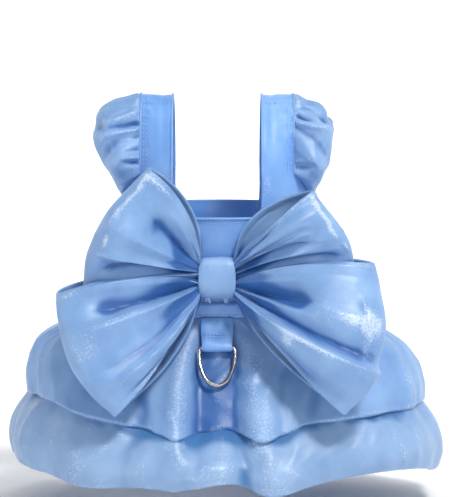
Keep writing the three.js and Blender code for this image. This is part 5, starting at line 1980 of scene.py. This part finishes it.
@dataclass
class LeadHolder:
    """The lead ring and the folded tab that holds it below the waistband."""

    body: Body
    finishes: Finishes
    ring_height: float = 28
    wire: float = 2.6
    ring_corner: float = 2.2
    straight_share: float = 0.3
    tab_length: float = 22
    tab_ply: float = 1
    tab_width: float = 20.5
    eye_gap: float = 0.3
    seam_gap: float = 0.3
    tier_wall: float = 1.2
    wall: float = 0.8
    wave_depth: float = 0.45
    edge_depth: float = 0.5
    stitch_rises: tuple[float, ...] = (6.5, 8.5)
    stitch: tuple[float, float, float] = (2.4, 1.8, 0.24)  # spacing, length and radius

    def __post_init__(self) -> None:
        """Takes the ring's width and lean from the frame, and works out the tab's start from the body's
        sizes.
        """
        low, high = node_box("lead_ring")
        self.ring_width = high[0] - low[0]
        size = high - low
        self.lean = math.atan2(size[1] - self.wire, size[2] - self.wire)
        self.eye = self.wire / 2 + self.eye_gap + self.tab_ply
        self.bar_drop = self.tab_length - self.eye
        gap = self.seam_gap
        seam = self.body.waist_half_depth + gap + self.tier_wall + gap + self.tab_ply
        self.start = np.array([0, -seam, -self.body.waist_drop - gap])
        self.down = np.array([0, -math.sin(self.lean), -math.cos(self.lean)])
        self.front = np.array([0, -math.cos(self.lean), math.sin(self.lean)])

    def place(self, x: Grid, down: Grid, out: Grid) -> Grid:
        """Gives points in the hanging plane: across, down the tab, and out to the front."""
        return (
            self.start
            + np.asarray(x)[..., None] * np.array([1, 0, 0])
            + np.asarray(down)[..., None] * self.down
            + np.asarray(out)[..., None] * self.front
        )

    def tab(self) -> Grid:
        """Makes the tab: down in front, round the ring's bar, and up again behind."""
        drop = np.linspace(-0.4, self.bar_drop, 34)
        taper = smoothstep(self.bar_drop - 9, self.bar_drop, drop)
        front = blend(self.tab_ply, self.eye, taper)
        turned = np.linspace(0, math.pi, 16)[1:]
        down = np.concatenate([drop, self.bar_drop + self.eye * np.sin(turned), drop[-2::-1]])
        out = np.concatenate([front, self.eye * np.cos(turned), -front[-2::-1]])
        share = np.linspace(0, 1, len(down))
        across, row = np.meshgrid(np.linspace(-1, 1, 36), np.arange(len(down)))
        pinch = 1 - 0.07 * np.exp(-((down - self.bar_drop + 2) / 7) ** 2)
        grid = self.place(across * self.tab_width / 2 * pinch[row], down[row], out[row])
        pulls = SoftNoise(401, 4, 9).at(across * 0.35, share[row]) * self.wave_depth
        edge = -self.edge_depth * np.abs(across) ** 8
        return raised(grid, pulls + edge, False)

    def ring(self) -> Object:
        """Bends the D-ring: a straight bar with tight corners above a half-round bow."""
        half = (self.ring_width - self.wire) / 2
        inside = self.ring_height - self.wire
        bow_top = -inside * self.straight_share + self.ring_corner
        stretch = (inside + bow_top) / half
        bpy.ops.object.select_all(action="DESELECT")
        bpy.ops.mesh.primitive_circle_add(
            vertices=72, radius=half * MM, location=(0, 0, 0), rotation=(math.pi / 2, 0, 0)
        )
        ring = bpy.context.object
        ring.name = "lead_ring_wire"
        bpy.ops.object.transform_apply(location=True, rotation=True, scale=True)
        bpy.ops.object.mode_set(mode="EDIT")
        bpy.ops.mesh.select_all(action="SELECT")
        bpy.ops.transform.resize(value=(1, 1, stretch), center_override=(0, 0, 0))
        bpy.ops.transform.translate(value=(0, 0, bow_top * MM))
        bpy.ops.mesh.select_all(action="DESELECT")
        bpy.ops.object.mode_set(mode="OBJECT")
        for vertex in ring.data.vertices:
            vertex.select = vertex.co.z > (bow_top + 0.01) * MM
        bpy.ops.object.mode_set(mode="EDIT")
        bpy.ops.mesh.delete(type="VERT")
        bpy.ops.object.mode_set(mode="OBJECT")
        for vertex in ring.data.vertices:
            vertex.select = abs(vertex.co.z - bow_top * MM) < 0.01 * MM
        bpy.ops.object.mode_set(mode="EDIT")
        bpy.ops.mesh.extrude_vertices_move(TRANSFORM_OT_translate={"value": (0, 0, -bow_top * MM)})
        bpy.ops.mesh.edge_face_add()
        bpy.ops.mesh.bevel(
            offset=self.ring_corner * MM, offset_type="OFFSET", segments=8, affect="VERTICES", profile=0.5
        )
        bpy.ops.object.mode_set(mode="OBJECT")
        bpy.ops.object.convert(target="CURVE")
        ring.data.bevel_depth = self.wire / 2 * MM
        ring.data.bevel_resolution = 6
        bpy.ops.object.convert(target="MESH")
        ring = bpy.context.object
        ring.rotation_euler = (-self.lean, 0, 0)
        ring.location = tuple(self.place(np.float64(0), np.float64(self.bar_drop), np.float64(0)) * MM)
        bpy.ops.object.transform_apply(location=True, rotation=True, scale=True)
        bpy.ops.object.shade_smooth()
        ring.data.materials.clear()
        ring.data.materials.append(self.finishes.nickel)
        turn_outward(ring)
        return ring

    def build(self) -> None:
        """Makes and dresses the tab, its stitches and the ring."""
        cloth = self.finishes.bodice_cloth
        # The tab gets painted shade all over, a deeper blue, and a little painted highlight on its proud
        # creases.
        tab = cloth_object("ring_tab_cloth", self.tab(), False, self.wall, cloth, 4, crest_glint=0.4, shade=0.35)
        x = np.linspace(-0.42, 0.42, 20) * self.tab_width
        rows = []
        for rise in self.stitch_rises:
            drop, out = np.full_like(x, self.bar_drop - rise), np.full_like(x, self.tab_ply + 0.45)
            path = self.place(x, drop, out)
            rows.append(stitch_row(path, np.tile(self.front, (len(x), 1)), *self.stitch))
        threads = stitching("ring_tab_stitching", rows, self.finishes.thread)
        dress(threads, Slot.BODICE_CLOTH)
        dress(
            tab, Slot.BODICE_CLOTH, "ring_tab", flat=(0.02, 0.046), held=Held.FOLDED,
            rests_on=["waistband"], with_pieces=[threads],
        )
        dress(self.ring(), Slot.RING_METAL, "lead_ring")


@dataclass
class Studio:
    """The camera, a pale floor that sweeps up all round, and soft light."""

    target: tuple[float, float, float] = (0.005, 0, -0.1)
    distance: float = 1.5
    elevation: float = 5
    view_height: float = 497 * 0.65 * MM
    sensor: float = 36
    floor_gap: float = 0.025
    floor_reach: float = 2.6
    sweep_radius: float = 0.9
    sweep_height: float = 1.8
    room_colour: str = "#f4faff"
    room_strength: float = 0.12

    def camera(self) -> None:
        """Makes the camera at the photograph's angle."""
        tilt = math.radians(self.elevation)
        data = bpy.data.cameras.new("camera")
        data.sensor_fit = "VERTICAL"
        data.sensor_height = self.sensor
        data.lens = self.sensor * self.distance / self.view_height
        data.clip_end = 20
        camera = bpy.data.objects.new("camera", data)
        camera.location = (
            self.target[0],
            self.target[1] - self.distance * math.cos(tilt),
            self.target[2] + self.distance * math.sin(tilt),
        )
        camera.rotation_euler = (math.pi / 2 - tilt, 0, 0)
        bpy.context.scene.collection.objects.link(camera)
        bpy.context.scene.camera = camera

    def paper(self) -> Material:
        """Makes the matt white paper of the floor, with a faint mottle."""
        made, tree, shader, place = new_material("white backdrop paper")
        inputs = {"Vector": place.outputs["Object"], "Scale": 30.0}
        fibre = add_node(tree, "ShaderNodeTexNoise", inputs)
        tone = add_node(tree, "ShaderNodeValToRGB", {"Fac": fibre.outputs["Fac"]})
        tone.color_ramp.elements[0].color = linear("#f6f7f9")
        tone.color_ramp.elements[1].color = linear("#fbfbfc")
        feed(tree, shader, {
            "Base Color": tone.outputs["Color"], "Roughness": 0.9, "Specular IOR Level": 0.1,
        })
        return made

    def floor(self) -> None:
        """Makes the floor and the sweep on all four sides of it in one sheet of paper."""
        reach = self.floor_reach
        height = CAD_BOX[0][2] - self.floor_gap
        bpy.ops.object.select_all(action="DESELECT")
        bpy.ops.mesh.primitive_plane_add(size=2 * reach, location=(0, 0, height))
        floor = bpy.context.object
        floor.name = "floor"
        bpy.ops.object.transform_apply(location=True, rotation=True, scale=True)
        bpy.ops.object.mode_set(mode="EDIT")
        bpy.ops.mesh.select_all(action="DESELECT")
        bpy.ops.object.mode_set(mode="OBJECT")
        for edge in floor.data.edges:
            edge.select = True
        bpy.ops.object.mode_set(mode="EDIT")
        bpy.ops.mesh.extrude_edges_move(TRANSFORM_OT_translate={"value": (0, 0, self.sweep_height)})
        bpy.ops.object.mode_set(mode="OBJECT")
        for edge in floor.data.edges:
            ends = [floor.data.vertices[v].co for v in edge.vertices]
            edge.select = any(end.z < height + 0.01 for end in ends)
        bpy.ops.object.mode_set(mode="EDIT")
        bpy.ops.mesh.bevel(offset=self.sweep_radius, segments=16, affect="EDGES")
        bpy.ops.mesh.select_all(action="SELECT")
        bpy.ops.mesh.faces_shade_smooth()
        bpy.ops.object.mode_set(mode="OBJECT")
        floor.data.materials.append(self.paper())

    def light(
        self,
        name: str,
        place: tuple[float, float, float],
        size: float,
        power: float,
        colour: str,
        aim: tuple[float, float, float] | None = None,
    ) -> None:
        """Adds one soft light.

        Args:
            name: The light's name.
            place: Where it stands, in metres.
            size: Its width in metres.
            power: Its power in watts.
            colour: Its colour.
            aim: What it looks at, or None for the dress.
        """
        data = bpy.data.lights.new(name, "AREA")
        data.size = size
        data.energy = power
        data.color = linear(colour)[:3]
        lamp = bpy.data.objects.new(name, data)
        lamp.location = place
        away = np.array(place) - np.array(aim or self.target)
        flat = math.hypot(away[0], away[1])
        lamp.rotation_euler = (math.atan2(flat, away[2]), 0, math.atan2(away[0], -away[1]))
        bpy.context.scene.collection.objects.link(lamp)

    def build(self) -> None:
        """Sets the room, the lights and the floor."""
        scene = bpy.context.scene
        scene.view_settings.view_transform = "Standard"
        world = bpy.data.worlds.new("room")
        world.use_nodes = True
        background = world.node_tree.nodes["Background"]
        background.inputs["Color"].default_value = linear(self.room_colour)
        background.inputs["Strength"].default_value = self.room_strength
        scene.world = world
        self.light("key", (0.62, -1.0, 1.45), 0.36, 26, "#fffdf9")
        self.light("fill", (-1.4, -1.3, 0.2), 1.0, 2, "#eef6ff")
        self.light("top", (0.2, 0.0, 1.6), 0.8, 8, "#ffffff")
        walls = (("back", 0, 1, 36), ("right", 1, 0, 13), ("left", -1, 0, 13), ("near", 0, -1, 9))
        for side, x, y, power in walls:
            place = (x * 1.4, y * 1.4, 1.4)
            aim = (x * self.floor_reach, y * self.floor_reach, 0.2)
            self.light(f"backdrop {side}", place, 1.4, power, "#ffffff", aim)
        self.floor()


def main() -> None:
    """Builds the dress, sub-assembly by sub-assembly."""
    logging.basicConfig(level=logging.INFO, format="%(name)s: %(message)s")
    studio = Studio()
    studio.camera()
    # For each cloth: its colour, the deeper blue of its painted shade in folds, and its paler tone.
    finishes = Finishes(
        organza=ShimmerCloth("shimmer organza", "#6891c6", "#1b5ba3", "#88afdd").material(),
        sheer_organza=ShimmerCloth(
            "shimmer organza, one layer", "#7297c5", "#336ea8", "#8fb0d8",
        ).material(),
        bodice_cloth=ShimmerCloth(
            "shimmer cloth on a backing", "#6098e0", "#2465ae", "#86b4ec", crumple_depth=0.07, glint=0.6,
        ).material(),
        thread=SewingThread().material(),
        nickel=NickelPlate().material(),
    )
    body = Body()
    bodice = Bodice(body, finishes)
    bodice.build()
    Sleeves(bodice, finishes).build()
    Waistband(body, finishes).build()
    skirt = Skirt(body, finishes)
    skirt.build()
    Bow(body, skirt, finishes).build()
    LeadHolder(body, finishes).build()
    studio.build()


if __name__ == "__main__":
    main()
